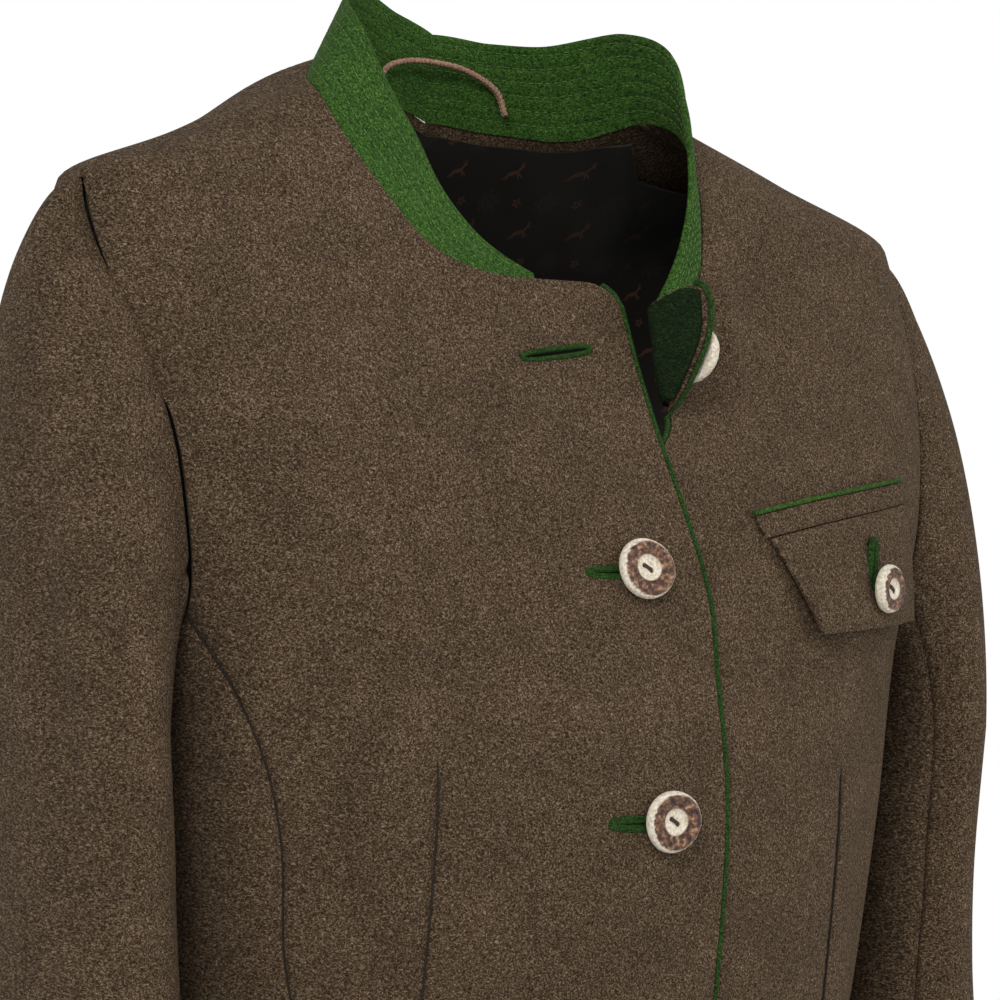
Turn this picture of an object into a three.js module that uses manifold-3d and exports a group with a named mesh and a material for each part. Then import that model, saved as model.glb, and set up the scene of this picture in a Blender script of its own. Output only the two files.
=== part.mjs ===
import * as THREE from "three";
import { mergeVertices } from "three/addons/utils/BufferGeometryUtils.js";
import Module from "manifold-3d";

// Tyrolean loden jacket, size 36, buttoned from the second button down and open at the neck.
// Millimetres. +Z is up, the front faces -Y, the wearer's right is -X.
// The origin is midway between the side neck points, where the shoulders carry the jacket.

// Cloth
const LODEN = 2.0;
const COLLAR_CLOTH = 2.4;
const FACING_CLOTH = 1.0;
const LINING_CLOTH = 1.0;
const SEAM = 0.3;

// Lengths
const HEM_Z = -610;
const UNDERARM_Z = -226;
const OVERLAP = 22;
const COLLAR_HEIGHT = 35;
const COLLAR_STOP = 12;
const CORNER_DROP = 9;
const PIPING_WIDTH = 1.8;

// Buttons
const BUTTON_D = 23;
const FLAP_BUTTON_D = 19;
const BUTTON_THICK = 4.4;
const BUTTON_SPACING = 91;
const FIRST_BUTTON_Z = -93;
const HOLE_LENGTH = 30;
const HOLE_GAP = 1.8;
const LIP_WIDTH = 1.6;
const LIP_THICK = 2.6;

// Body form by height: half width, depth to front and back, middle, squareness of the section.
const BODY = [
  { z: 20, half: 40, front: 24, back: 48, mid: 0, square: 2.2 },
  { z: 0, half: 80, front: 36, back: 56, mid: 0, square: 2.2 },
  { z: -22, half: 133, front: 46, back: 68, mid: 3, square: 2.3 },
  { z: -46, half: 182, front: 58, back: 84, mid: 4, square: 2.5 },
  { z: -100, half: 186, front: 82, back: 98, mid: 2, square: 2.8 },
  { z: -150, half: 180, front: 106, back: 104, mid: 0, square: 2.7 },
  { z: -215, half: 164, front: 122, back: 104, mid: -4, square: 2.4 },
  { z: -275, half: 154, front: 132, back: 96, mid: -8, square: 2.25 },
  { z: -340, half: 145, front: 126, back: 86, mid: -10, square: 2.2 },
  { z: -410, half: 138, front: 112, back: 78, mid: -8, square: 2.15 },
  { z: -500, half: 156, front: 118, back: 98, mid: -6, square: 2.15 },
  { z: -620, half: 176, front: 126, back: 114, mid: -4, square: 2.15 },
];

// Neckline in plan, from past the centre front round the left side to the centre back.
const NECK = [
  { x: -24, y: -71 },
  { x: 0, y: -71 },
  { x: 26, y: -71 },
  { x: 41, y: -69.5 },
  { x: 55, y: -65.5 },
  { x: 66, y: -58.5 },
  { x: 76, y: -48 },
  { x: 82, y: -33 },
  { x: 83, y: -15 },
  { x: 78, y: 5 },
  { x: 67, y: 25 },
  { x: 50, y: 43 },
  { x: 27, y: 54 },
  { x: 0, y: 58 },
];
const NECK_SIDE = 9;
const NECK_BACK = 13;

// Left armhole as a closed curve from the shoulder tip down the front and up the back.
const ARMHOLE = [
  { y: 0, z: -46 },
  { y: -8, z: -58 },
  { y: -20, z: -75 },
  { y: -40, z: -100 },
  { y: -52, z: -130 },
  { y: -57, z: -155 },
  { y: -55, z: -185 },
  { y: -47, z: -205 },
  { y: -26, z: -220 },
  { y: 0, z: -226 },
  { y: 26, z: -220 },
  { y: 45, z: -205 },
  { y: 52, z: -185 },
  { y: 54, z: -155 },
  { y: 52, z: -130 },
  { y: 44, z: -100 },
  { y: 28, z: -75 },
  { y: 14, z: -58 },
];
const ARM_FRONT_SEAM = 7;
const ARM_BACK_SEAM = 11.5;
const ARM_TIP = 18;

// Panel seams by height, as half widths: front to side panel, and side panel to back.
const FRONT_SEAM = [
  { z: -226, x: 150 },
  { z: -245, x: 143 },
  { z: -263, x: 138 },
  { z: -291, x: 133 },
  { z: -322, x: 130 },
  { z: -400, x: 117 },
  { z: -500, x: 130 },
  { z: -620, x: 148 },
];
const BACK_SEAM = [
  { z: -226, x: 146 },
  { z: -300, x: 122 },
  { z: -400, x: 103 },
  { z: -500, x: 116 },
  { z: -620, x: 134 },
];

// Sleeve sections by height: centre, half width across, half depth.
const SLEEVE = [
  { z: -245, x: 185, y: -5, half: 24, depth: 67 },
  { z: -300, x: 181, y: -6, half: 24, depth: 66 },
  { z: -340, x: 180, y: -7, half: 27, depth: 64 },
  { z: -410, x: 186, y: -10, half: 35, depth: 58 },
  { z: -500, x: 213, y: -16, half: 42, depth: 50 },
  { z: -600, x: 232, y: -30, half: 40, depth: 44 },
  { z: -655, x: 241, y: -38, half: 39, depth: 42 },
];
const CUFF_Z = -655;
const SLEEVE_TOP_Z = -245;
const SLEEVE_FRONT_SEAM = 6.3;
const SLEEVE_BACK_SEAM = 13.125;

// Collar: height by distance from its end, and lean into the neck by place round the neck.
const COLLAR_RISE = [
  { along: 0, high: 0.12 },
  { along: 12, high: 0.36 },
  { along: 26, high: 0.62 },
  { along: 45, high: 0.86 },
  { along: 70, high: 1 },
  { along: 400, high: 1 },
];
const COLLAR_LEAN = [
  { place: 0, right: 40, left: 6 },
  { place: 4, right: 40, left: 6 },
  { place: 7, right: 34, left: 10 },
  { place: 9, right: 27, left: 20 },
  { place: 13, right: 8, left: 8 },
];

// The open corner of the left front: how far it has slid open and sunk, and where it turns out.
const OPENED = [
  { z: -185, shift: 0, sink: 0 },
  { z: -160, shift: 14, sink: 2 },
  { z: -120, shift: 57, sink: 8 },
  { z: -108, shift: 40, sink: 11 },
  { z: -95, shift: 30, sink: 12 },
  { z: -75, shift: 30, sink: 12 },
];
const TURN_LINE = [
  { z: -120, x: -24, radius: 2 },
  { z: -108, x: -3, radius: 3.5 },
  { z: -95, x: 9, radius: 4.5 },
  { z: -75, x: 12, radius: 5 },
];
const TURN_ANGLE = (105 * Math.PI) / 180;
const OPENED_REACH = 66;

// The open neck hangs a little to the wearer's right and the left shoulder sits a little lower.
const SWING = -13.5;
const SWING_FADE = { top: -125, bottom: -205, front: -60, back: 60, near: 80, far: 165 };
const SHOULDER_TILT = 0.035;
const TILT_FADE = { top: -80, bottom: -330 };
const NECK_TILT = 0.2;
const NECK_TILT_FADE = { front: 0, back: 45, near: 62, far: 130, bottom: -130, top: -40 };

// The overlapping front stands a little off the one below it.

const RIGHT_LIFT = 3;
const LIFT_FADE = { edge: 30, far: 62 };

// Chest pocket on the left front, corners as half width and height.
const POCKET = {
  lineIn: { x: 59, z: -159 },
  lineOut: { x: 140, z: -142 },
  flapIn: { x: 63, z: -168 },
  flapOut: { x: 142, z: -153 },
  lowIn: { x: 75, z: -206 },
  lowOut: { x: 147, z: -198 },
  hole: { x: 111, z: -178 },
  button: { x: 113, z: -187 },
};

const ORDER = ["z", "half", "front", "back", "mid", "square"];

function clamp(v, lo, hi) {
  return Math.min(hi, Math.max(lo, v));
}

function lerp(a, b, t) {
  return a + (b - a) * t;
}

function ease(lo, hi, v) {
  const t = clamp((v - lo) / (hi - lo), 0, 1);
  return t * t * (3 - 2 * t);
}

// Value of one column of a table at a key, with a curve that never overshoots the rows.
function column(table, key, name) {
  const rows = [...table].sort((p, q) => p[key] - q[key]);
  const n = rows.length;
  const step = [];
  const rise = [];
  for (let i = 0; i < n - 1; i++) {
    step.push(rows[i + 1][key] - rows[i][key]);
    rise.push((rows[i + 1][name] - rows[i][name]) / step[i]);
  }
  const slope = [rise[0]];
  for (let i = 1; i < n - 1; i++) {
    const a = 2 * step[i] + step[i - 1];
    const b = step[i] + 2 * step[i - 1];
    const turns = rise[i - 1] * rise[i] <= 0;
    slope.push(turns ? 0 : (a + b) / (a / rise[i - 1] + b / rise[i]));
  }
  slope.push(rise[n - 2]);
  return (at) => {
    const v = clamp(at, rows[0][key], rows[n - 1][key]);
    let i = 0;
    while (i < n - 2 && v > rows[i + 1][key]) i++;
    const t = (v - rows[i][key]) / step[i];
    const from = (1 + 2 * t) * (1 - t) ** 2 * rows[i][name] + t * (1 - t) ** 2 * step[i] * slope[i];
    const to = t * t * (3 - 2 * t) * rows[i + 1][name] + t * t * (t - 1) * step[i] * slope[i + 1];
    return from + to;
  };
}

// Smooth curve through the rows of a table, by row number.
function through(table, names, closed) {
  const n = table.length;
  const row = (i) => (closed ? table[((i % n) + n) % n] : table[clamp(i, 0, n - 1)]);
  return (at) => {
    const i = closed ? Math.floor(at) : clamp(Math.floor(at), 0, n - 2);
    const t = at - i;
    const [p, q, r, s] = [row(i - 1), row(i), row(i + 1), row(i + 2)];
    return names.map((k) => {
      const bend = (2 * p[k] - 5 * q[k] + 4 * r[k] - s[k]) * t * t;
      const twist = (3 * q[k] - p[k] - 3 * r[k] + s[k]) * t * t * t;
      return 0.5 * (2 * q[k] + (r[k] - p[k]) * t + bend + twist);
    });
  };
}

const bodyColumns = ORDER.slice(1).map((name) => column(BODY, "z", name));
const neckPlan = through(NECK, ["x", "y"], false);
const armPlan = through(ARMHOLE, ["y", "z"], true);
const frontSeamX = column(FRONT_SEAM, "z", "x");
const backSeamX = column(BACK_SEAM, "z", "x");
const sleeveX = column(SLEEVE, "z", "x");
const sleeveY = column(SLEEVE, "z", "y");
const sleeveHalf = column(SLEEVE, "z", "half");
const sleeveDepth = column(SLEEVE, "z", "depth");
const collarRise = column(COLLAR_RISE, "along", "high");
const leanRight = column(COLLAR_LEAN, "place", "right");
const leanLeft = column(COLLAR_LEAN, "place", "left");
const openedShift = column(OPENED, "z", "shift");
const openedSink = column(OPENED, "z", "sink");
const turnLineX = column(TURN_LINE, "z", "x");
const turnRadius = column(TURN_LINE, "z", "radius");

const CORE = new THREE.Vector3(0, -6, UNDERARM_Z);
const UP = new THREE.Vector3(0, 0, 1);
const SOLVE_STEPS = 44;

// How far outside the body form a point is: below zero inside, above zero outside.
function outside(p) {
  if (p.z > BODY[0].z) return 1;
  const [half, front, back, mid, square] = bodyColumns.map((f) => f(p.z));
  const depth = p.y < mid ? front + mid : back - mid;
  const sum = (Math.abs(p.x) / half) ** square + (Math.abs(p.y - mid) / depth) ** square;
  return sum ** (1 / square) - 1;
}

function solve(lo, hi, test) {
  for (let i = 0; i < SOLVE_STEPS; i++) {
    const at = (lo + hi) / 2;
    if (test(at)) hi = at;
    else lo = at;
  }
  return (lo + hi) / 2;
}

// Body points: round a level section, on the front at x and z, on top at x and y, on the armhole.
function ringPoint(angle, z) {
  const [half, front, back, mid, square] = bodyColumns.map((f) => f(z));
  const c = Math.cos(angle);
  const s = Math.sin(angle);
  const depth = s < 0 ? front + mid : back - mid;
  const x = half * Math.sign(c) * Math.abs(c) ** (2 / square);
  const y = mid + depth * Math.sign(s) * Math.abs(s) ** (2 / square);
  return new THREE.Vector3(x, y, z);
}

function angleAt(x, z, side) {
  const half = bodyColumns[0](z);
  const square = bodyColumns[4](z);
  const c = Math.sign(x) * (Math.abs(x) / half) ** (square / 2);
  return side * Math.acos(clamp(c, -1, 1));
}

function frontPoint(x, z) {
  return ringPoint(angleAt(x, z, -1), z);
}

function topPoint(x, y) {
  const z = solve(-220, BODY[0].z, (at) => outside(new THREE.Vector3(x, y, at)) > 0);
  return new THREE.Vector3(x, y, z);
}

function armPoint(place) {
  const [y, z] = armPlan(place);
  const [half, front, back, mid, square] = bodyColumns.map((f) => f(z));
  const depth = y < mid ? front + mid : back - mid;
  const x = half * (1 - Math.min(1, Math.abs(y - mid) / depth) ** square) ** (1 / square);
  return new THREE.Vector3(x, y, z);
}

function neckPoint(place) {
  const [x, y] = neckPlan(place);
  return topPoint(x, y);
}

function toBody(p) {
  const way = p.clone().sub(CORE).normalize();
  const far = 400;
  const k = solve(0, far, (at) => outside(CORE.clone().addScaledVector(way, at)) > 0);
  return CORE.clone().addScaledVector(way, k);
}

function between(low, high, t) {
  const a = low.clone().sub(CORE).normalize();
  const b = high.clone().sub(CORE).normalize();
  return toBody(CORE.clone().add(a.lerp(b, t)));
}

function normalAt(p) {
  const d = 0.2;
  const slope = (axis) => {
    const more = p.clone();
    const less = p.clone();
    more[axis] += d;
    less[axis] -= d;
    return outside(more) - outside(less);
  };
  return new THREE.Vector3(slope("x"), slope("y"), slope("z")).normalize();
}

// The hang of the worn jacket, put on every point last.
function hang(p) {
  const byZ = ease(SWING_FADE.bottom, SWING_FADE.top, p.z);
  const byY = 1 - ease(SWING_FADE.front, SWING_FADE.back, p.y);
  const byX = 1 - ease(SWING_FADE.near, SWING_FADE.far, Math.abs(p.x));
  const tilt = clamp((p.z - TILT_FADE.bottom) / (TILT_FADE.top - TILT_FADE.bottom), 0, 1);
  const fade = NECK_TILT_FADE;
  const neckHigh = ease(fade.bottom, fade.top, p.z);
  const neckBack = ease(fade.front, fade.back, p.y) * (1 - ease(fade.near, fade.far, Math.abs(p.x)));
  const x = p.x + SWING * byZ * byY * byX;
  const down = SHOULDER_TILT * tilt + NECK_TILT * neckHigh * neckBack;
  return new THREE.Vector3(x, p.y, p.z - p.x * down);
}

// Base point and lift to a worn point, for each side.
function onPlain(side) {
  return (base, lift) => {
    const p = base.clone().addScaledVector(normalAt(base), lift);
    p.x *= side;
    return hang(p);
  };
}

function onRightFront(base, lift) {
  const raised = base.y < 0 ? RIGHT_LIFT * (1 - ease(LIFT_FADE.edge, LIFT_FADE.far, base.x)) : 0;
  return onPlain(-1)(base, lift + raised);
}

function opened(base) {
  const reach = 1 - clamp((base.x - COLLAR_STOP) / OPENED_REACH, 0, 1);
  const shift = base.y < 0 && base.z > OPENED[0].z ? openedShift(base.z) * reach : 0;
  const sink = openedSink(base.z) * reach;
  return shift > 0 ? toBody(new THREE.Vector3(base.x + shift, base.y, base.z - sink)) : base;
}

function onLeftFront(base, lift) {
  const turn = base.y < 0 && base.z > TURN_LINE[0].z ? turnLineX(base.z) - base.x : 0;
  if (turn <= 0) return onPlain(1)(opened(base), lift);
  const root = opened(frontPoint(turnLineX(base.z), base.z));
  const out = normalAt(root);
  const along = new THREE.Vector3().crossVectors(out, UP).normalize();
  if (along.x > 0) along.negate();
  const bend = turnRadius(base.z);
  const angle = Math.min(turn / bend, TURN_ANGLE);
  const rest = turn - angle * bend;
  const radius = bend - lift;
  root.addScaledVector(along, radius * Math.sin(angle) + rest * Math.cos(angle));
  root.addScaledVector(out, bend - radius * Math.cos(angle) + rest * Math.sin(angle));
  return hang(root);
}

// Closed wall between two grids of points.
function wall(name, material, outer, inner) {
  const nu = outer.length;
  const nv = outer[0].length;
  const points = [...outer.flat(), ...inner.flat()];
  const a = (i, j) => i * nv + j;
  const b = (i, j) => nu * nv + i * nv + j;
  const faces = [];
  const quad = (p, q, r, s) => faces.push(p, q, r, p, r, s);
  for (let i = 0; i < nu - 1; i++) {
    for (let j = 0; j < nv - 1; j++) {
      quad(a(i, j), a(i + 1, j), a(i + 1, j + 1), a(i, j + 1));
      quad(b(i, j), b(i, j + 1), b(i + 1, j + 1), b(i + 1, j));
    }
    quad(a(i, 0), b(i, 0), b(i + 1, 0), a(i + 1, 0));
    quad(a(i, nv - 1), a(i + 1, nv - 1), b(i + 1, nv - 1), b(i, nv - 1));
  }
  for (let j = 0; j < nv - 1; j++) {
    quad(a(0, j), a(0, j + 1), b(0, j + 1), b(0, j));
    quad(a(nu - 1, j), b(nu - 1, j), b(nu - 1, j + 1), a(nu - 1, j + 1));
  }
  return solidFrom(name, material, points, faces);
}

function solidFrom(name, material, points, faces) {
  let volume = 0;
  for (let i = 0; i < faces.length; i += 3) {
    const [p, q, r] = [points[faces[i]], points[faces[i + 1]], points[faces[i + 2]]];
    volume += p.dot(new THREE.Vector3().crossVectors(q, r));
  }
  if (volume < 0) faces.reverse();
  const geometry = new THREE.BufferGeometry();
  const flat = points.flatMap((p) => [p.x, p.y, p.z]);
  geometry.setAttribute("position", new THREE.Float32BufferAttribute(flat, 3));
  geometry.setIndex(faces);
  geometry.computeVertexNormals();
  const mesh = new THREE.Mesh(geometry, material.clone());
  mesh.name = name;
  return mesh;
}

const loden = new THREE.MeshStandardMaterial({ color: 0x4a3c2f, roughness: 0.95 });
const green = new THREE.MeshStandardMaterial({ color: 0x2c4f22, roughness: 0.95 });
const satin = new THREE.MeshStandardMaterial({ color: 0x14110f, roughness: 0.5 });
const cord = new THREE.MeshStandardMaterial({ color: 0x8a6a55, roughness: 0.8 });
const horn = new THREE.MeshStandardMaterial({ color: 0x9a7450, roughness: 0.5 });

const steps = (n) => [...Array(n + 1).keys()].map((i) => i / n);
const spread = (from, to, n) => steps(n).map((t) => lerp(from, to, t));

const LEVELS = [HEM_Z, -505, -405, -335, -278, UNDERARM_Z];
const UPPER_ROWS = 8;
const CORNER_ROWS = [0, 0.14, 0.28, 0.4, 0.5, 0.58, 0.64, 0.69, 0.74, 0.79, 0.84, 0.9, 0.95, 1];
const SHOULDER_COLUMNS = 5;
const ARM_FRONT_COLUMNS = 8;
const ARM_UNDER_COLUMNS = 5;
const ARM_BACK_COLUMNS = 7;
const BACK_NECK_COLUMNS = 4;

const armFront = spread(0, ARM_FRONT_SEAM, ARM_FRONT_COLUMNS);
const armUnder = spread(ARM_FRONT_SEAM, ARM_BACK_SEAM, ARM_UNDER_COLUMNS);
const armBack = spread(ARM_BACK_SEAM, ARM_TIP, ARM_BACK_COLUMNS);

// Places on a curve with the ends drawn in by a small share of a row.
const drawnIn = (places, by) =>
  places.map((p, i) => p + (i === 0 ? by : i === places.length - 1 ? -by : 0));
const END_INSET = 0.01;

function shoulderPoint(t, side) {
  const neck = neckPoint(NECK_SIDE);
  const tip = armPoint(0);
  const y = lerp(neck.y, tip.y, t) + side * SEAM;
  return topPoint(lerp(neck.x, tip.x, t), y);
}

// Grid of body points for a panel: rows from hem to underarm, then up to the top points.
function panelGrid(tops, ringXs, edgeAngle, seamAngle, upper) {
  const first = edgeAngle(UNDERARM_Z);
  const last = seamAngle(UNDERARM_Z);
  const side = Math.sign(last + first) || 1;
  return tops.map((top, i) => {
    const place = i === 0 ? 0 : i === tops.length - 1 ? 1 : null;
    const angle = place === null ? angleAt(ringXs[i], UNDERARM_Z, side) : lerp(first, last, place);
    const share = (angle - first) / (last - first);
    const low = LEVELS.map((z) =>
      ringPoint(lerp(edgeAngle(z), seamAngle(z), share), z),
    );
    const ring = low.at(-1);
    const high = upper.slice(1).map((t) => (t === 1 ? top : between(ring, top, t)));
    return [...low, ...high];
  });
}

function panel(name, grid, put, thick, lift) {
  const outer = grid.map((line) => line.map((p) => put(p, lift)));
  const inner = grid.map((line) => line.map((p) => put(p, lift - thick)));
  return wall(name, loden, outer, inner);
}

// Small angle that leaves half a seam gap at a panel edge.
const seamTurn = (z) => SEAM / 2 / bodyColumns[0](z);

// Front panels. The neck places run from the front edge to the side neck point.
const neckAtX = (x) => solve(0, 4, (at) => neckPlan(at)[0] > x);

function frontTops(neckXs, moreNeck) {
  const corner = neckXs.slice(0, 3).map((x, i) => {
    const z = neckPoint(neckAtX(x)).z - CORNER_DROP * [1, 0.42, 0.08][i];
    return frontPoint(x, z);
  });
  const rest = neckXs.slice(3).map((x) => neckPoint(neckAtX(x)));
  const side = spread(neckAtX(neckXs.at(-1)), NECK_SIDE, moreNeck).slice(1, -1);
  return [
    ...corner,
    ...rest,
    ...side.map(neckPoint),
    ...steps(SHOULDER_COLUMNS).map((t) => shoulderPoint(t, -1)),
    ...drawnIn(armFront, END_INSET).slice(1).map(armPoint),
  ];
}

function frontRingXs(neckXs, moreNeck) {
  const seam = frontSeamX(UNDERARM_Z);
  return [
    ...neckXs,
    ...spread(neckXs.at(-1), 70, moreNeck).slice(1),
    ...spread(70, 116, SHOULDER_COLUMNS).slice(1),
    ...spread(116, seam, ARM_FRONT_COLUMNS).slice(1),
  ];
}

const frontEdge = (z) => angleAt(-OVERLAP, z, -1);
const frontSeam = (z) => angleAt(frontSeamX(z), z, -1) - seamTurn(z);
const sideFront = (z) => angleAt(frontSeamX(z), z, -1) + seamTurn(z);
const sideBack = (z) => angleAt(backSeamX(z), z, 1) - seamTurn(z);
const backSeam = (z) => angleAt(backSeamX(z), z, 1) + seamTurn(z);
const backMiddle = (z) => Math.PI / 2 - seamTurn(z);

const RIGHT_NECK_X = [-OVERLAP, 1.5 - OVERLAP, 6 - OVERLAP, -8, 2, COLLAR_STOP];
const COLLAR_COLUMNS = 6;
const LEFT_NECK_X = [-OVERLAP, 1.5 - OVERLAP, 6 - OVERLAP, -10, -3, 5, COLLAR_STOP];
const rightGrid = panelGrid(
  frontTops(RIGHT_NECK_X, COLLAR_COLUMNS),
  frontRingXs(RIGHT_NECK_X, COLLAR_COLUMNS),
  frontEdge,
  frontSeam,
  steps(UPPER_ROWS),
);
const leftGrid = panelGrid(
  frontTops(LEFT_NECK_X, COLLAR_COLUMNS),
  frontRingXs(LEFT_NECK_X, COLLAR_COLUMNS),
  frontEdge,
  frontSeam,
  CORNER_ROWS,
);

const sideRing = spread(sideFront(UNDERARM_Z), sideBack(UNDERARM_Z), ARM_UNDER_COLUMNS);
const sideGrid = drawnIn(armUnder, END_INSET).map((place, i) => {
  const share = (sideRing[i] - sideRing[0]) / (sideRing.at(-1) - sideRing[0]);
  const low = LEVELS.map((z) =>
    ringPoint(lerp(sideFront(z), sideBack(z), share), z),
  );
  const ring = low.at(-1);
  const top = armPoint(place);
  const high = steps(UPPER_ROWS)
    .slice(1)
    .map((t) => (t === 1 ? top : between(ring, top, t)));
  return [...low, ...high];
});

const backTops = [
  ...drawnIn(armBack, END_INSET).slice(0, -1).map(armPoint),
  ...steps(SHOULDER_COLUMNS).map((t) => shoulderPoint(1 - t, 1)),
  ...spread(NECK_SIDE, NECK_BACK, BACK_NECK_COLUMNS).slice(1).map(neckPoint),
];
const backRingXs = [
  ...spread(backSeamX(UNDERARM_Z), 112, ARM_BACK_COLUMNS),
  ...spread(112, 64, SHOULDER_COLUMNS).slice(1),
  ...spread(64, 0, BACK_NECK_COLUMNS).slice(1),
];
const backGrid = panelGrid(backTops, backRingXs, backSeam, backMiddle, steps(UPPER_ROWS));

// Sleeves: a cap from the armhole to the first level section, then down to the cuff.
const CAP_ROWS = [0, 0.12, 0.28, 0.46, 0.64, 0.82, 1];
const SLEEVE_ROWS = 5;
const SLEEVE_SLANT = 0.25;
const SLEEVE_SEAM = 1.8;

function sleeveRing(place, z) {
  const turn = (place / ARM_TIP) * Math.PI * 2;
  const x = sleeveHalf(z) * Math.cos(turn);
  const slant = SLEEVE_SLANT * x * (1 - ease(0, 120, SLEEVE_TOP_Z - z));
  return new THREE.Vector3(sleeveX(z) + x, sleeveY(z) - sleeveDepth(z) * Math.sin(turn), z + slant);
}

function sleevePoint(place, along) {
  if (along >= 1) return sleeveRing(place, lerp(SLEEVE_TOP_Z, CUFF_Z, along - 1));
  const turn = (place / ARM_TIP) * Math.PI * 2;
  const under = (1 - Math.cos(turn)) / 2;
  const leave = new THREE.Vector3(1 - 0.5 * under, -0.3 * Math.sin(turn), -0.2 - 0.65 * under);
  const a = armPoint(place).addScaledVector(leave, SLEEVE_SEAM);
  const b = sleeveRing(place, SLEEVE_TOP_Z);
  const out = leave.multiplyScalar(92 * (1 - under) ** 1.2 + 18);
  const down = new THREE.Vector3(0, 0, -(170 * (1 - under) + 25));
  const t = along;
  const p = a.multiplyScalar((1 + 2 * t) * (1 - t) ** 2);
  p.addScaledVector(out, t * (1 - t) ** 2);
  p.addScaledVector(b, t * t * (3 - 2 * t));
  p.addScaledVector(down, t * t * (t - 1));
  return p;
}

function sleeveNormal(place, along) {
  const d = 0.02;
  const round = sleevePoint(place + d, along).sub(sleevePoint(place - d, along));
  const ahead = Math.min(along + d, 2);
  const down = sleevePoint(place, ahead).sub(sleevePoint(place, Math.max(0, ahead - 2 * d)));
  return new THREE.Vector3().crossVectors(round, down).normalize();
}

function sleevePiece(name, side, places) {
  const rows = [...CAP_ROWS, ...spread(1, 2, SLEEVE_ROWS).slice(1)];
  const grid = (depth) =>
    drawnIn(places, END_INSET).map((place) =>
      rows.map((along) => {
        const p = sleevePoint(place, along).addScaledVector(sleeveNormal(place, along), -depth);
        p.x *= side;
        return hang(p);
      }),
    );
  return wall(name, loden, grid(0), grid(LODEN));
}

const armPlaces = [...armFront, ...armUnder.slice(1), ...armBack.slice(1)];
const nearestArm = (at) =>
  armPlaces.reduce((best, p) => (Math.abs(p - at) < Math.abs(best - at) ? p : best));
const sleeveFrontSeam = nearestArm(SLEEVE_FRONT_SEAM);
const sleeveBackSeam = nearestArm(SLEEVE_BACK_SEAM);
const underPlaces = armPlaces.filter((p) => p >= sleeveFrontSeam && p <= sleeveBackSeam);
const topPlaces = [
  ...armPlaces.filter((p) => p >= sleeveBackSeam && p < ARM_TIP).map((p) => p - ARM_TIP),
  ...armPlaces.filter((p) => p <= sleeveFrontSeam),
];

// Stand collar: on the neckline from near the centre front right round, leaning into the neck.
const COLLAR_ROWS = [0, 0.3, 0.65, 1];
const NECK_MIDDLE = new THREE.Vector3(0, -5, 0);
const collarPlaces = [
  ...spread(neckAtX(COLLAR_STOP), NECK_SIDE, COLLAR_COLUMNS),
  ...spread(NECK_SIDE, NECK_BACK, BACK_NECK_COLUMNS).slice(1),
];

function neckRun(place) {
  const count = 24;
  const places = spread(collarPlaces[0], place, count).map(neckPoint);
  return places.slice(1).reduce((sum, p, i) => sum + p.distanceTo(places[i]), 0);
}

function collarPoint(place, up, depth, leanAt) {
  const base = neckPoint(place);
  const inward = NECK_MIDDLE.clone().sub(base).setZ(0).normalize();
  const lean = (leanAt(place) * Math.PI) / 180;
  const face = normalAt(base);
  const along = neckPoint(Math.min(place + 0.05, NECK_BACK)).sub(neckPoint(place - 0.05));
  const onward = new THREE.Vector3().crossVectors(face, along).normalize();
  if (onward.dot(inward) < 0) onward.negate();
  const rise = inward.clone().multiplyScalar(Math.sin(lean)).addScaledVector(UP, Math.cos(lean));
  const back = inward.clone().multiplyScalar(-Math.cos(lean)).addScaledVector(UP, Math.sin(lean));
  const high = COLLAR_HEIGHT * collarRise(neckRun(place)) * up;
  const turned = Math.min(1, up * 2);
  const thickWay = face.clone().lerp(back, turned).normalize();
  return base
    .addScaledVector(onward, SEAM)
    .addScaledVector(rise, high)
    .addScaledVector(thickWay, -depth);
}

function collarSide(side, depth) {
  return collarPlaces.map((place) =>
    COLLAR_ROWS.map((up) => {
      const base = neckPoint(place);
      const p = collarPoint(place, up, depth, side > 0 ? leanLeft : leanRight);
      if (side > 0) p.add(opened(base).sub(base));
      p.x *= side;
      return hang(p);
    }),
  );
}

function collarGrid(depth) {
  const right = collarSide(-1, depth);
  const left = collarSide(1, depth).reverse();
  return [...right, ...left.slice(1)];
}

// Strip of cloth on or beside a panel: rows of base points, one line per step across.
function strip(name, material, lines, put, lift, thick) {
  const outer = lines.map((line) => line.map((p) => put(p, lift)));
  const inner = lines.map((line) => line.map((p) => put(p, lift - thick)));
  return wall(name, material, outer, inner);
}

// Green piping along a front edge, from the hem round the top corner.
function edgePiping(name, put, grid) {
  const cornerEnd = 3;
  const edge = [...grid[0], ...grid.slice(1, cornerEnd).map((line) => line.at(-1))];
  const next = [...grid[1], ...grid.slice(1, cornerEnd).map((line) => line.at(-2))];
  const count = edge.length;
  const outward = edge.map((p, i) => {
    const ahead = edge[Math.min(i + 1, count - 1)];
    const behind = edge[Math.max(i - 1, 0)];
    const run = ahead.clone().sub(behind).normalize();
    const way = new THREE.Vector3().crossVectors(run, normalAt(p)).normalize();
    return way.dot(p.clone().sub(next[i])) < 0 ? way.negate() : way;
  });
  const line = (by) => edge.map((p, i) => p.clone().addScaledVector(outward[i], by));
  return strip(name, green, [line(SEAM), line(SEAM + PIPING_WIDTH)], put, 0.1, LODEN + 0.2);
}

// Dark green facing inside the left front, where the open corner shows it.
function facingGrid() {
  const count = 7;
  const first = LEVELS.length + 8;
  return leftGrid.slice(1, count).map((line) => {
    const top = line.at(-2).clone().lerp(line.at(-1), 0.9);
    return [...line.slice(first, -1), top];
  });
}

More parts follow.
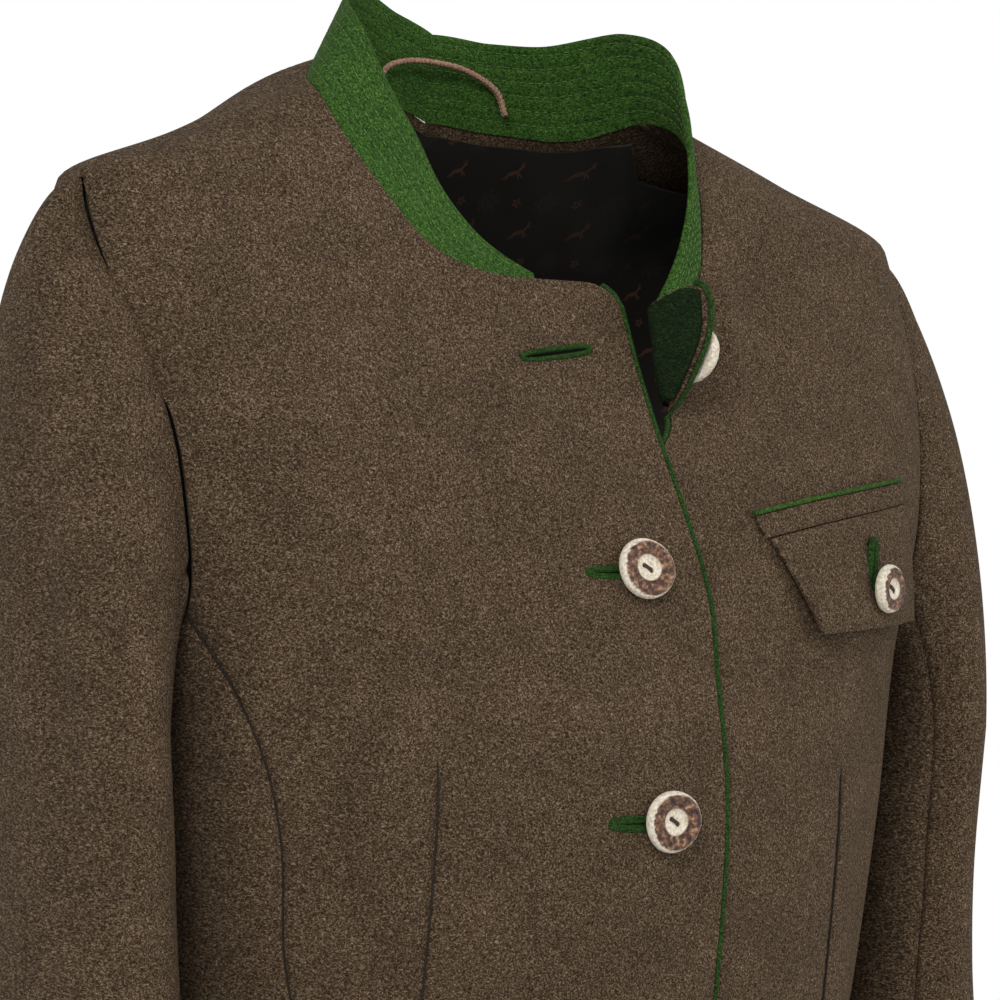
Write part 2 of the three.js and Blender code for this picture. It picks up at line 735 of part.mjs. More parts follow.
// Lining of the back, from one armhole across to the other, just short of the neck seam.
const LINING_TOP = 0.9;
const LINING_SHOULDER_LOOSE = 4.5;
const LINING_SHOULDER_TOP = 0.2;
function liningGrid() {
  const neckFrom = backGrid.length - BACK_NECK_COLUMNS;
  return backGrid.map((line, i) => {
    const reach = i >= neckFrom ? LINING_TOP : LINING_SHOULDER_TOP;
    const top = line.at(-2).clone().lerp(line.at(-1), reach);
    return [...line.slice(LEVELS.length - 1, -1), top];
  });
}

function bothSides(grid, lift) {
  const neckFrom = backGrid.length - BACK_NECK_COLUMNS;
  const loose = (i) => (i < neckFrom ? LINING_SHOULDER_LOOSE : 0);
  const side = (sign) =>
    grid.map((line, i) => line.map((p) => onPlain(sign)(p, lift - loose(i))));
  const left = side(1);
  const right = side(-1).reverse();
  return [...left.slice(0, -1), ...right];
}

// Pocket pieces: quads on the left front between four corners.
const offFront = (p) => frontPoint(p.x, p.z);

function patch(name, material, corners, across, down, lift, thick) {
  const [a, b, c, d] = corners;
  const at = (u, v) =>
    offFront({
      x: lerp(lerp(a.x, b.x, u), lerp(d.x, c.x, u), v),
      z: lerp(lerp(a.z, b.z, u), lerp(d.z, c.z, u), v),
    });
  const grid = steps(across).map((u) => steps(down).map((v) => ({ base: at(u, v), u, v })));
  const layer = (extra) =>
    grid.map((line) => line.map((q) => onPlain(1)(q.base, lift(q.u, q.v) + extra)));
  return wall(name, material, layer(thick), layer(0));
}

const WELT_CLOTH = 1.4;
const WELT_HIGH = 8.5;
const PIPE_HIGH = 1.6;
const FLAP_STANDS = 4.5;
const FLAP_HOLE_LENGTH = 18;
const POCKET_SLANT = Math.atan2(17, 81);
const drop = (p, by) => ({ x: p.x + by * 0.2, z: p.z - by });
const weltCorners = [
  drop(POCKET.lineIn, PIPE_HIGH + SEAM),
  drop(POCKET.lineOut, PIPE_HIGH + SEAM),
  drop(POCKET.lineOut, WELT_HIGH + PIPE_HIGH),
  drop(POCKET.lineIn, WELT_HIGH + PIPE_HIGH),
];
const pipingCorners = [
  POCKET.lineIn,
  POCKET.lineOut,
  drop(POCKET.lineOut, PIPE_HIGH),
  drop(POCKET.lineIn, PIPE_HIGH),
];
const flapTop = WELT_HIGH + PIPE_HIGH + SEAM;
const flapCorners = [
  { ...drop(POCKET.lineIn, flapTop), x: POCKET.flapIn.x },
  { ...drop(POCKET.lineOut, flapTop), x: POCKET.flapOut.x },
  POCKET.lowOut,
  POCKET.lowIn,
];
const flapLift = (u, v) => SEAM + 0.5 + FLAP_STANDS * v;

// Braided hanger loop inside the back neck.
const LOOP_D = 3.2;
const LOOP_PATH = [
  { x: -27, y: 47.5, z: 7 },
  { x: -25, y: 45.5, z: 15 },
  { x: -15, y: 45.5, z: 18.5 },
  { x: -1, y: 45.5, z: 18.5 },
  { x: 13, y: 45.5, z: 16 },
  { x: 25, y: 43.5, z: 9 },
  { x: 29, y: 42, z: -1 },
];
function hangerLoop() {
  const curve = new THREE.CatmullRomCurve3(
    LOOP_PATH.map((p) => new THREE.Vector3(p.x, p.y, p.z)),
    false,
    "centripetal",
  );
  const section = new THREE.Shape();
  section.absarc(0, 0, LOOP_D / 2, 0, Math.PI * 2);
  const geometry = new THREE.ExtrudeGeometry(section, {
    steps: 24,
    curveSegments: 8,
    extrudePath: curve,
    bevelEnabled: false,
  });
  const mesh = new THREE.Mesh(geometry, cord.clone());
  mesh.name = "hanger_loop";
  return mesh;
}

// Turned solid set on a panel, its axis along the outward normal.
function setOn(geometry, name, material, put, base, lift) {
  const from = put(base, lift);
  const out = put(base, lift + 1).sub(from).normalize();
  const across = new THREE.Vector3().crossVectors(UP, out).normalize();
  const up = new THREE.Vector3().crossVectors(out, across);
  const frame = new THREE.Matrix4().makeBasis(across, up, out).setPosition(from);
  const mesh = new THREE.Mesh(geometry.applyMatrix4(frame), material.clone());
  mesh.name = name;
  return mesh;
}

const BUTTON_SIDES = 28;
const DISH_D = 9;
const DISH_DEEP = 1.2;
const THREAD_HOLE_D = 1.8;
const THREAD_HOLE_PITCH = 3.6;

const wasm = await Module();
wasm.setup();

function toManifold(geometry) {
  const plain = geometry.clone();
  plain.deleteAttribute("normal");
  if (plain.getAttribute("uv")) plain.deleteAttribute("uv");
  const welded = mergeVertices(plain, 1e-3);
  const mesh = new wasm.Mesh({
    numProp: 3,
    vertProperties: new Float32Array(welded.getAttribute("position").array),
    triVerts: new Uint32Array(welded.index.array),
  });
  return new wasm.Manifold(mesh);
}

function toGeometry(solid) {
  const mesh = solid.getMesh();
  const geometry = new THREE.BufferGeometry();
  geometry.setAttribute("position", new THREE.Float32BufferAttribute(mesh.vertProperties, 3));
  geometry.setIndex([...mesh.triVerts]);
  geometry.computeVertexNormals();
  return geometry;
}

// Horn disc: flat back, rounded rim, dished middle with two thread holes.
function buttonGeometry(diameter) {
  const r = diameter / 2;
  const t = BUTTON_THICK;
  const profile = [
    [0, 0],
    [r - 1, 0],
    [r, 1.2],
    [r - 0.2, t - 0.9],
    [r - 1.4, t],
    [DISH_D / 2 + 0.6, t - 0.3],
    [DISH_D / 2 - 0.4, t - DISH_DEEP],
    [0, t - DISH_DEEP - 0.2],
  ].map(([x, y]) => new THREE.Vector2(x, y));
  const disc = toManifold(new THREE.LatheGeometry(profile, BUTTON_SIDES).rotateX(Math.PI / 2));
  const hole = (x) => {
    const rod = new THREE.CylinderGeometry(THREAD_HOLE_D / 2, THREAD_HOLE_D / 2, 4 * t, 10);
    return toManifold(rod.rotateX(Math.PI / 2).translate(x, 0, 0));
  };
  const holes = hole(THREAD_HOLE_PITCH / 2).add(hole(-THREAD_HOLE_PITCH / 2));
  return toGeometry(disc.subtract(holes));
}

// Bound buttonhole: a flat ring of piping round an open slot.
function lipsGeometry(length) {
  const wide = length + 2 * LIP_WIDTH;
  const high = HOLE_GAP + 2 * LIP_WIDTH;
  const outer = toManifold(new THREE.BoxGeometry(wide, high, LIP_THICK));
  const slot = toManifold(new THREE.BoxGeometry(length, HOLE_GAP, 3 * LIP_THICK));
  return toGeometry(outer.subtract(slot));
}

// Cuts a window for a buttonhole through a panel.
function cutWindow(mesh, put, base, lift, length, turn) {
  const wide = length + 2 * LIP_WIDTH + 2 * SEAM;
  const high = HOLE_GAP + 2 * LIP_WIDTH + 2 * SEAM;
  const cutter = new THREE.BoxGeometry(wide, high, 14);
  cutter.rotateZ(turn);
  const placed = setOn(cutter, "cutter", loden, put, base, lift).geometry;
  mesh.geometry = toGeometry(toManifold(mesh.geometry).subtract(toManifold(placed)));
}

const group = new THREE.Group();
group.name = "tyrolean_loden_jacket";

const rightFront = panel("right_front", rightGrid, onRightFront, LODEN, 0);
const leftFront = panel("left_front", leftGrid, onLeftFront, LODEN, 0);

// Buttonholes run from the wearer's right to just past the centre front.
const HOLE_MIDDLE_X = HOLE_LENGTH / 2 - 3;
const HOLE_TURN = (9 * Math.PI) / 180;
const levels = [0, 1, 2, 3, 4].map((i) => FIRST_BUTTON_Z - BUTTON_SPACING * i);
const holes = levels.map((z, i) => {
  const base = frontPoint(HOLE_MIDDLE_X, z - (i === 0 ? 11 : 1));
  const turn = i === 0 ? HOLE_TURN : 0;
  cutWindow(rightFront, onRightFront, base, 0, HOLE_LENGTH, turn);
  const lips = lipsGeometry(HOLE_LENGTH).rotateZ(turn);
  return setOn(lips, `buttonhole_${i + 1}`, green, onRightFront, base, 0.5 - LODEN / 2);
});

const BUTTON_LIFT = 1.9;
const TOP_BUTTON = { x: -12, z: -99, lift: 1.6 };
const BUTTON_LINE_X = 4;
const buttons = levels.map((z, i) => {
  const put = i === 0 ? onLeftFront : onRightFront;
  const base = frontPoint(i === 0 ? TOP_BUTTON.x : BUTTON_LINE_X, i === 0 ? TOP_BUTTON.z : z);
  const lift = i === 0 ? TOP_BUTTON.lift : BUTTON_LIFT;
  return setOn(buttonGeometry(BUTTON_D), `button_${i + 1}`, horn, put, base, lift);
});

group.add(rightFront);
group.add(leftFront);
group.add(panel("right_side_panel", sideGrid, onPlain(-1), LODEN, 0));
group.add(panel("left_side_panel", sideGrid, onPlain(1), LODEN, 0));
group.add(panel("right_back", backGrid, onPlain(-1), LODEN, 0));
group.add(panel("left_back", backGrid, onPlain(1), LODEN, 0));
group.add(sleevePiece("right_sleeve_top", -1, topPlaces));
group.add(sleevePiece("right_sleeve_under", -1, underPlaces));
group.add(sleevePiece("left_sleeve_top", 1, topPlaces));
group.add(sleevePiece("left_sleeve_under", 1, underPlaces));
group.add(wall("stand_collar", green, collarGrid(0), collarGrid(COLLAR_CLOTH)));
group.add(edgePiping("right_front_piping", onRightFront, rightGrid));
group.add(edgePiping("left_front_piping", onLeftFront, leftGrid));
const facingLift = -LODEN - 2 * SEAM;
group.add(strip("left_facing", green, facingGrid(), onLeftFront, facingLift, FACING_CLOTH));
const LINING_LOOSE = 2.6;
const liningLift = -LODEN - LINING_LOOSE;
const lining = liningGrid();
group.add(
  wall(
    "back_lining",
    satin,
    bothSides(lining, liningLift),
    bothSides(lining, liningLift - LINING_CLOTH),
  ),
);
group.add(...holes);
group.add(...buttons);
group.add(patch("pocket_welt", loden, weltCorners, 6, 1, () => SEAM + 0.5, WELT_CLOTH));
group.add(patch("pocket_piping", green, pipingCorners, 6, 1, () => SEAM + 0.5, WELT_CLOTH + 0.6));
const flap = patch("pocket_flap", loden, flapCorners, 6, 5, flapLift, LODEN);
const holeBase = offFront(POCKET.hole);
const holeTurn = Math.PI / 2 - POCKET_SLANT;
const flapPut = (base, lift) => onPlain(1)(base, lift + SEAM + 0.3 + FLAP_STANDS / 2 + LODEN);
cutWindow(flap, flapPut, holeBase, 0, FLAP_HOLE_LENGTH, holeTurn);
const flapLips = lipsGeometry(FLAP_HOLE_LENGTH).rotateZ(holeTurn);
group.add(flap);
group.add(setOn(flapLips, "flap_buttonhole", green, flapPut, holeBase, 0.9 - LODEN / 2));
const flapButton = buttonGeometry(FLAP_BUTTON_D);
group.add(setOn(flapButton, "flap_button", horn, flapPut, offFront(POCKET.button), 2.8));
group.add(hangerLoop());

export default group;
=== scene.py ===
import math

import bpy
import numpy as np
from mathutils import Matrix, Vector


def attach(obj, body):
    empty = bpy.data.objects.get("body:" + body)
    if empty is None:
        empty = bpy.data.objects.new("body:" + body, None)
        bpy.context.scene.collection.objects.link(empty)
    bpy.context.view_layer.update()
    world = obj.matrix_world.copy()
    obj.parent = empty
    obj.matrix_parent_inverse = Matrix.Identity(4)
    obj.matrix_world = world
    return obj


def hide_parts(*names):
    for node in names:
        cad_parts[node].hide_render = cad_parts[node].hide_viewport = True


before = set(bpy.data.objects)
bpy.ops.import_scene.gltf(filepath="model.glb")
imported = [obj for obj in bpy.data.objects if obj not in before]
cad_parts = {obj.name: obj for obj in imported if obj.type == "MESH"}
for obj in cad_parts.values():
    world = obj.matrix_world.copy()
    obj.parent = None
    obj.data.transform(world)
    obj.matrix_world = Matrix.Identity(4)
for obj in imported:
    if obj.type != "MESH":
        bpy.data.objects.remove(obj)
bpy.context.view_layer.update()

# ---------------------------------------------------------------- Camera
# A long lens at chest height, from the wearer's right of the front, turned a degree.
AIM = Vector((0.004, 0.0, -0.157))
CAMERA_TURN = math.radians(-31.5)
CAMERA_RISE = math.radians(-0.5)
CAMERA_ROLL = math.radians(1.0)
CAMERA_FAR = 1.8

back_way = Vector(
    (
        math.sin(CAMERA_TURN) * math.cos(CAMERA_RISE),
        -math.cos(CAMERA_TURN) * math.cos(CAMERA_RISE),
        math.sin(CAMERA_RISE),
    )
)
right_way = (-back_way).cross(Vector((0, 0, 1))).normalized()
up_way = right_way.cross(-back_way)
right_way, up_way = (
    right_way * math.cos(CAMERA_ROLL) + up_way * math.sin(CAMERA_ROLL),
    up_way * math.cos(CAMERA_ROLL) - right_way * math.sin(CAMERA_ROLL),
)
lens = bpy.data.cameras.new("camera")
lens.lens = 164.5
lens.sensor_width = 36
lens.clip_start = 0.05
camera = bpy.data.objects.new("camera", lens)
bpy.context.scene.collection.objects.link(camera)
turned = Matrix((right_way, up_way, back_way)).transposed().to_4x4()
camera.matrix_world = Matrix.Translation(AIM + back_way * CAMERA_FAR) @ turned
bpy.context.scene.camera = camera

# ---------------------------------------------------------------- Hanger loop
# A braided cord of three strands, both ends sewn into the back neck seam, so that the
# jacket hangs from a hook. Its route is the one of the solid that it stands for.
LOOP_D = 3.2
LOOP_ROUTE = [
    (-27, 47.5, 7),
    (-25, 45.5, 15),
    (-15, 45.5, 18.5),
    (-1, 45.5, 18.5),
    (13, 45.5, 16),
    (25, 43.5, 9),
    (29, 42, -1),
]
BRAID_PITCH = 5.2


def unit(v):
    return v / np.maximum(np.linalg.norm(v, axis=-1, keepdims=True), 1e-12)


def smooth_route(points, count):
    """Even points on a soft curve through the given ones."""
    p = np.array(points, float)
    p = np.concatenate([[2 * p[0] - p[1]], p, [2 * p[-1] - p[-2]]])
    out = []
    for i in range(1, len(p) - 2):
        for t in np.linspace(0, 1, 40, endpoint=False):
            a, b, c, d = p[i - 1], p[i], p[i + 1], p[i + 2]
            bend = (2 * a - 5 * b + 4 * c - d) * t * t
            twist = (3 * b - a - 3 * c + d) * t ** 3
            out.append(0.5 * (2 * b + (c - a) * t + bend + twist))
    out = np.array(out + [p[-2]])
    run = np.concatenate([[0], np.cumsum(np.linalg.norm(np.diff(out, axis=0), axis=1))])
    even = np.linspace(0, run[-1], count)
    return np.stack([np.interp(even, run, out[:, k]) for k in range(3)], axis=1), run[-1]


def side_ways(path):
    """Two directions across a path at each point, carried along it without twist."""
    along = unit(np.gradient(path, axis=0))
    first = unit(np.cross(along[0], [0.3, 1.0, 0.2]))
    sides = [first]
    for a in along[1:]:
        s = sides[-1] - a * (sides[-1] @ a)
        sides.append(s / np.linalg.norm(s))
    sides = np.array(sides)
    return sides, np.cross(along, sides)


def tube(path, radius, sides):
    """Closed tube round a path: points and faces."""
    across, other = side_ways(path)
    turn = np.arange(sides) / sides * 2 * math.pi
    ring = np.cos(turn)[None, :, None] * across[:, None] + np.sin(turn)[None, :, None] * other[:, None]
    points = (path[:, None] + radius * ring).reshape(-1, 3)
    n = len(path)
    faces = []
    for i in range(n - 1):
        for j in range(sides):
            k = (j + 1) % sides
            faces.append((i * sides + j, i * sides + k, (i + 1) * sides + k, (i + 1) * sides + j))
    faces.append(tuple(reversed(range(sides))))
    faces.append(tuple((n - 1) * sides + j for j in range(sides)))
    return points, faces


def joined(parts):
    points, faces, start = [], [], 0
    for p, f in parts:
        points.append(p)
        faces += [tuple(int(i) + start for i in face) for face in f]
        start += len(p)
    return np.concatenate(points), faces


def new_piece(name, points, faces, materials):
    """A mesh object from points in millimetres, its place in its mesh."""
    mesh = bpy.data.meshes.new(name)
    mesh.from_pydata((np.asarray(points) / 1000).tolist(), [], faces)
    mesh.validate()
    for material in materials:
        mesh.materials.append(material)
    mesh.shade_smooth()
    mesh.set_sharp_from_angle(angle=math.radians(50))
    obj = bpy.data.objects.new(name, mesh)
    bpy.context.scene.collection.objects.link(obj)
    return obj


def tone(red, green, blue):
    """Display values from 0 to 255 as a linear colour."""
    shares = [v / 255 for v in (red, green, blue)]
    linear = [s / 12.92 if s <= 0.04045 else ((s + 0.055) / 1.055) ** 2.4 for s in shares]
    return (*linear, 1)


def new_material(name):
    material = bpy.data.materials.new(name)
    material.use_nodes = True
    return material, material.node_tree.nodes, material.node_tree.links


def node(nodes, links, kind, inputs=None, **settings):
    made = nodes.new(kind)
    for key, value in settings.items():
        setattr(made, key, value)
    for key, value in (inputs or {}).items():
        if isinstance(value, bpy.types.NodeSocket):
            links.new(value, made.inputs[key])
        else:
            made.inputs[key].default_value = value
    return made


def ramp(nodes, links, value, stops):
    made = node(nodes, links, "ShaderNodeValToRGB", {0: value})
    elements = made.color_ramp.elements
    elements[0].position, elements[0].color = stops[0]
    elements[1].position, elements[1].color = stops[-1]
    for at, colour in stops[1:-1]:
        elements.new(at).color = colour
    return made.outputs["Color"]


def cord_material():
    material, nodes, links = new_material("braided_cord_yarn")
    place = node(nodes, links, "ShaderNodeTexCoord").outputs["Object"]
    yarn = node(nodes, links, "ShaderNodeTexNoise", {"Vector": place, "Scale": 1800, "Detail": 3})
    colour = ramp(
        nodes,
        links,
        yarn.outputs["Fac"],
        [(0.3, tone(112, 78, 62)), (0.5, tone(160, 122, 100)), (0.7, tone(196, 164, 142))],
    )
    bump = node(nodes, links, "ShaderNodeBump", {"Height": yarn.outputs["Fac"], "Strength": 0.5, "Distance": 0.0003})
    shader = nodes["Principled BSDF"]
    links.new(colour, shader.inputs["Base Color"])
    links.new(bump.outputs["Normal"], shader.inputs["Normal"])
    shader.inputs["Roughness"].default_value = 0.8
    return material


loop_path, loop_length = smooth_route(LOOP_ROUTE, 110)
loop_side, loop_up = side_ways(loop_path)
loop_run = np.linspace(0, loop_length, len(loop_path)) / BRAID_PITCH * 2 * math.pi
strands = []
for k in range(3):
    phase = loop_run + k * 2 * math.pi / 3
    offset = 0.24 * LOOP_D * np.sin(phase)[:, None] * loop_up
    offset += 0.13 * LOOP_D * np.sin(2 * phase)[:, None] * loop_side
    strands.append(tube(loop_path + offset, 0.29 * LOOP_D, 8))
hanger = new_piece("hanger_loop_braid", *joined(strands), [cord_material()])
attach(hanger, "root")
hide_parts("hanger_loop")
[v / 1000 for v in LOOP_ROUTE[0]]
[[float(v) / 1000 for v in p] for p in loop_path[::4]]

# ---------------------------------------------------------------- Fronts
# Two loden fronts cut from shoulder to hem, the wearer's right lapping over the left. The
# open corner of the left front has slid aside and rolled outwards at its edge.
LODEN = 2.0
SEAM = 0.3
HEM_Z = -610
UNDERARM_Z = -226
OVERLAP = 22
COLLAR_STOP = 12
CORNER_DROP = 9
CORNER_REACH = 14

# Body form by height: z, half width, front, back, middle, squareness.
BODY = [
    (20, 40, 24, 48, 0, 2.2),
    (0, 80, 36, 56, 0, 2.2),
    (-22, 133, 46, 68, 3, 2.3),
    (-46, 182, 58, 84, 4, 2.5),
    (-100, 186, 82, 98, 2, 2.8),
    (-150, 180, 106, 104, 0, 2.7),
    (-215, 164, 122, 104, -4, 2.4),
    (-275, 154, 132, 96, -8, 2.25),
    (-340, 145, 126, 86, -10, 2.2),
    (-410, 138, 112, 78, -8, 2.15),
    (-500, 156, 118, 98, -6, 2.15),
    (-620, 176, 126, 114, -4, 2.15),
]
# Neckline in plan from past the centre front to the centre back: x, y.
NECK = [
    (-24, -71), (0, -71), (26, -71), (41, -69.5), (55, -65.5), (66, -58.5), (76, -48),
    (82, -33), (83, -15), (78, 5), (67, 25), (50, 43), (27, 54), (0, 58),
]
NECK_SIDE, NECK_BACK = 9, 13
# Armhole, closed, from the shoulder tip down the front and up the back: y, z.
ARMHOLE = [
    (0, -46), (-8, -58), (-20, -75), (-40, -100), (-52, -130), (-57, -155), (-55, -185),
    (-47, -205), (-26, -220), (0, -226), (26, -220), (45, -205), (52, -185), (54, -155),
    (52, -130), (44, -100), (28, -75), (14, -58),
]
ARM_FRONT_SEAM, ARM_BACK_SEAM, ARM_TIP = 7, 11.5, 18
FRONT_SEAM = [
    (-226, 150), (-245, 143), (-263, 138), (-291, 133), (-322, 130), (-400, 117),
    (-500, 130), (-620, 148),
]
BACK_SEAM = [(-226, 146), (-300, 122), (-400, 103), (-500, 116), (-620, 134)]
# The left front's open corner: height, how far it slid aside, how far it sank.
OPENED = [(-185, 0, 0), (-160, 14, 2), (-120, 57, 8), (-108, 40, 11), (-95, 30, 12), (-75, 30, 12)]
OPENED_REACH = 66
TURN_LINE = [(-120, -24, 2), (-108, -3, 3.5), (-95, 9, 4.5), (-75, 12, 5)]
TURN_ANGLE = math.radians(105)
SWING = -13.5
SHOULDER_TILT = 0.035
NECK_TILT = 0.2
RIGHT_LIFT = 3
CORE = np.array([0.0, -6.0, UNDERARM_Z])
UP = np.array([0.0, 0.0, 1.0])


def ease(lo, hi, v):
    t = np.clip((v - lo) / (hi - lo), 0, 1)
    return t * t * (3 - 2 * t)


def curve(rows, key, column):
    """Value by key through the rows of a table, never overshooting them."""
    table = np.array(sorted(rows, key=lambda row: row[key]), float)
    xs, ys = table[:, key], table[:, column]
    step = np.diff(xs)
    rise = np.diff(ys) / step
    slope = np.empty(len(xs))
    slope[0], slope[-1] = rise[0], rise[-1]
    for i in range(1, len(xs) - 1):
        a, b = 2 * step[i] + step[i - 1], step[i] + 2 * step[i - 1]
        flat = rise[i - 1] * rise[i] <= 0
        slope[i] = 0 if flat else (a + b) / (a / rise[i - 1] + b / rise[i])

    def value(v):
        v = np.clip(v, xs[0], xs[-1])
        i = np.clip(np.searchsorted(xs, v, side="right") - 1, 0, len(xs) - 2)
        t = (v - xs[i]) / step[i]
        low = (1 + 2 * t) * (1 - t) ** 2 * ys[i] + t * (1 - t) ** 2 * step[i] * slope[i]
        high = t * t * (3 - 2 * t) * ys[i + 1] + t * t * (t - 1) * step[i] * slope[i + 1]
        return low + high

    return value


def through(rows, closed):
    """Soft curve through the rows of a table, by row number."""
    table = np.array(rows, float)
    n = len(table)

    def row(i):
        return table[i % n] if closed else table[np.clip(i, 0, n - 1)]

    def value(at):
        at = np.asarray(at, float)
        i = np.floor(at).astype(int)
        if not closed:
            i = np.clip(i, 0, n - 2)
        t = (at - i)[..., None]
        p, q, r, s = row(i - 1), row(i), row(i + 1), row(i + 2)
        bend = (2 * p - 5 * q + 4 * r - s) * t * t
        twist = (3 * q - p - 3 * r + s) * t ** 3
        return 0.5 * (2 * q + (r - p) * t + bend + twist)

    return value


body_curves = [curve(BODY, 0, k) for k in range(1, 6)]
body_heights = np.arange(-700, 21, 0.5)
body_values = [f(body_heights) for f in body_curves]


def body_at(z):
    return [np.interp(z, body_heights, values) for values in body_values]


neck_plan = through(NECK, False)
arm_plan = through(ARMHOLE, True)
front_seam_x, back_seam_x = curve(FRONT_SEAM, 0, 1), curve(BACK_SEAM, 0, 1)
opened_shift, opened_sink = curve(OPENED, 0, 1), curve(OPENED, 0, 2)
turn_x, turn_radius = curve(TURN_LINE, 0, 1), curve(TURN_LINE, 0, 2)


def outside(p):
    """Below zero inside the body form, above zero outside it."""
    x, y, z = p[..., 0], p[..., 1], p[..., 2]
    half, front, back, mid, square = body_at(z)
    depth = np.where(y < mid, front + mid, back - mid)
    total = (np.abs(x) / half) ** square + (np.abs(y - mid) / depth) ** square
    return np.where(z > BODY[0][0], 1, total ** (1 / square) - 1)


def solve(lo, hi, shape, test):
    lo, hi = np.full(shape, float(lo)), np.full(shape, float(hi))
    for _ in range(30):
        at = (lo + hi) / 2
        over = test(at)
        hi, lo = np.where(over, at, hi), np.where(over, lo, at)
    return (lo + hi) / 2


def ring_point(angle, z):
    half, front, back, mid, square = body_at(z)
    c, s = np.cos(angle), np.sin(angle)
    depth = np.where(s < 0, front + mid, back - mid)
    x = half * np.sign(c) * np.abs(c) ** (2 / square)
    y = mid + depth * np.sign(s) * np.abs(s) ** (2 / square)
    return np.stack(np.broadcast_arrays(x, y, z), axis=-1).astype(float)


def angle_at(x, z, side):
    half, square = body_at(z)[0], body_at(z)[4]
    c = np.sign(x) * (np.abs(x) / half) ** (square / 2)
    return side * np.arccos(np.clip(c, -1, 1))


def front_point(x, z):
    x, z = np.broadcast_arrays(np.asarray(x, float), np.asarray(z, float))
    return ring_point(angle_at(x, z, -1), z)


def top_point(x, y):
    def over(z):
        return outside(np.stack([x, y, z], axis=-1)) > 0

    z = solve(-220, BODY[0][0], np.shape(x), over)
    return np.stack([x, y, z], axis=-1)


def arm_point(place):
    y, z = np.moveaxis(arm_plan(place), -1, 0)
    half, front, back, mid, square = body_at(z)
    depth = np.where(y < mid, front + mid, back - mid)
    x = half * (1 - np.minimum(1, np.abs(y - mid) / depth) ** square) ** (1 / square)
    return np.stack([x, y, z], axis=-1)


def neck_point(place):
    plan = neck_plan(place)
    return top_point(plan[..., 0], plan[..., 1])


def to_body(p):
    way = unit(p - CORE)

    def over(far):
        return outside(CORE + way * far[..., None]) > 0

    return CORE + way * solve(0, 400, p.shape[:-1], over)[..., None]


def between(low, high, t):
    a, b = unit(low - CORE)[:, None], unit(high - CORE)[:, None]
    return to_body(CORE + a + (b - a) * t[None, :, None])


def normal_at(p):
    d = 0.2
    slopes = []
    for axis in range(3):
        step = np.zeros(3)
        step[axis] = d
        slopes.append(outside(p + step) - outside(p - step))
    return unit(np.stack(slopes, axis=-1))


def hang(p):
    """The hang of the worn jacket: the open neck swings aside and one shoulder is lower."""
    x, y, z = p[..., 0], p[..., 1], p[..., 2]
    swing = ease(-205, -125, z) * (1 - ease(-60, 60, y)) * (1 - ease(80, 165, np.abs(x)))
    tilt = np.clip((z + 330) / 250, 0, 1)
    neck = ease(-130, -40, z) * ease(0, 45, y) * (1 - ease(62, 130, np.abs(x)))
    down = x * (SHOULDER_TILT * tilt + NECK_TILT * neck)
    return np.stack([x + SWING * swing, y, z - down], axis=-1)


def on_side(side):
    def put(base, lift):
        p = base + normal_at(base) * np.asarray(lift, float)[..., None]
        return hang(p * np.array([side, 1, 1]))

    return put


def on_right_front(base, lift):
    raised = np.where(base[..., 1] < 0, RIGHT_LIFT * (1 - ease(30, 62, base[..., 0])), 0)
    return on_side(-1)(base, lift + raised)


def opened(base):
    reach = 1 - np.clip((base[..., 0] - COLLAR_STOP) / OPENED_REACH, 0, 1)
    moves = (base[..., 1] < 0) & (base[..., 2] > OPENED[0][0])
    shift = np.where(moves, opened_shift(base[..., 2]) * reach, 0)
    sink = np.where(moves, opened_sink(base[..., 2]) * reach, 0)
    moved = base + np.stack([shift, 0 * shift, -sink], axis=-1)
    return np.where((shift > 0)[..., None], to_body(moved), base)


def on_left_front(base, lift):
    z = base[..., 2]
    turn = np.where((base[..., 1] < 0) & (z > TURN_LINE[0][0]), turn_x(z) - base[..., 0], 0)
    plain = on_side(1)(opened(base), lift)
    root = opened(front_point(turn_x(z), z))
    out = normal_at(root)
    along = unit(np.cross(out, UP))
    along = np.where(along[..., :1] > 0, -along, along)
    bend = turn_radius(z)
    angle = np.minimum(turn / bend, TURN_ANGLE)
    rest = turn - angle * bend
    radius = bend - lift
    p = root + along * (radius * np.sin(angle) + rest * np.cos(angle))[..., None]
    p = p + out * (bend - radius * np.cos(angle) + rest * np.sin(angle))[..., None]
    return np.where((turn > 0)[..., None], hang(p), plain)


def wall(name, outer, inner, materials, inner_slot=0):
    """Closed cloth between two grids of points."""
    nu, nv = outer.shape[:2]
    points = np.concatenate([outer.reshape(-1, 3), inner.reshape(-1, 3)])
    a = np.arange(nu * nv).reshape(nu, nv)
    b = a + nu * nv

    def quads(p, q, r, s):
        return np.stack([p.ravel(), q.ravel(), r.ravel(), s.ravel()], axis=1)

    sides = [
        quads(a[:-1, :-1], a[1:, :-1], a[1:, 1:], a[:-1, 1:]),
        quads(b[:-1, :-1], b[:-1, 1:], b[1:, 1:], b[1:, :-1]),
        quads(a[:-1, 0], b[:-1, 0], b[1:, 0], a[1:, 0]),
        quads(a[:-1, -1], a[1:, -1], b[1:, -1], b[:-1, -1]),
        quads(a[0, :-1], a[0, 1:], b[0, 1:], b[0, :-1]),
        quads(a[-1, :-1], b[-1, :-1], b[-1, 1:], a[-1, 1:]),
    ]
    faces = np.concatenate(sides)
    p, q, r, s = (points[faces[:, k]] for k in range(4))
    volume = np.einsum("ij,ij->", p, np.cross(q, r)) + np.einsum("ij,ij->", p, np.cross(r, s))
    if volume < 0:
        faces = faces[:, ::-1]
    obj = new_piece(name, points, faces.tolist(), materials)
    if inner_slot:
        slots = np.zeros(len(faces), dtype=np.int32)
        slots[len(sides[0]) : len(sides[0]) + len(sides[1])] = inner_slot
        obj.data.polygons.foreach_set("material_index", slots)
    return obj


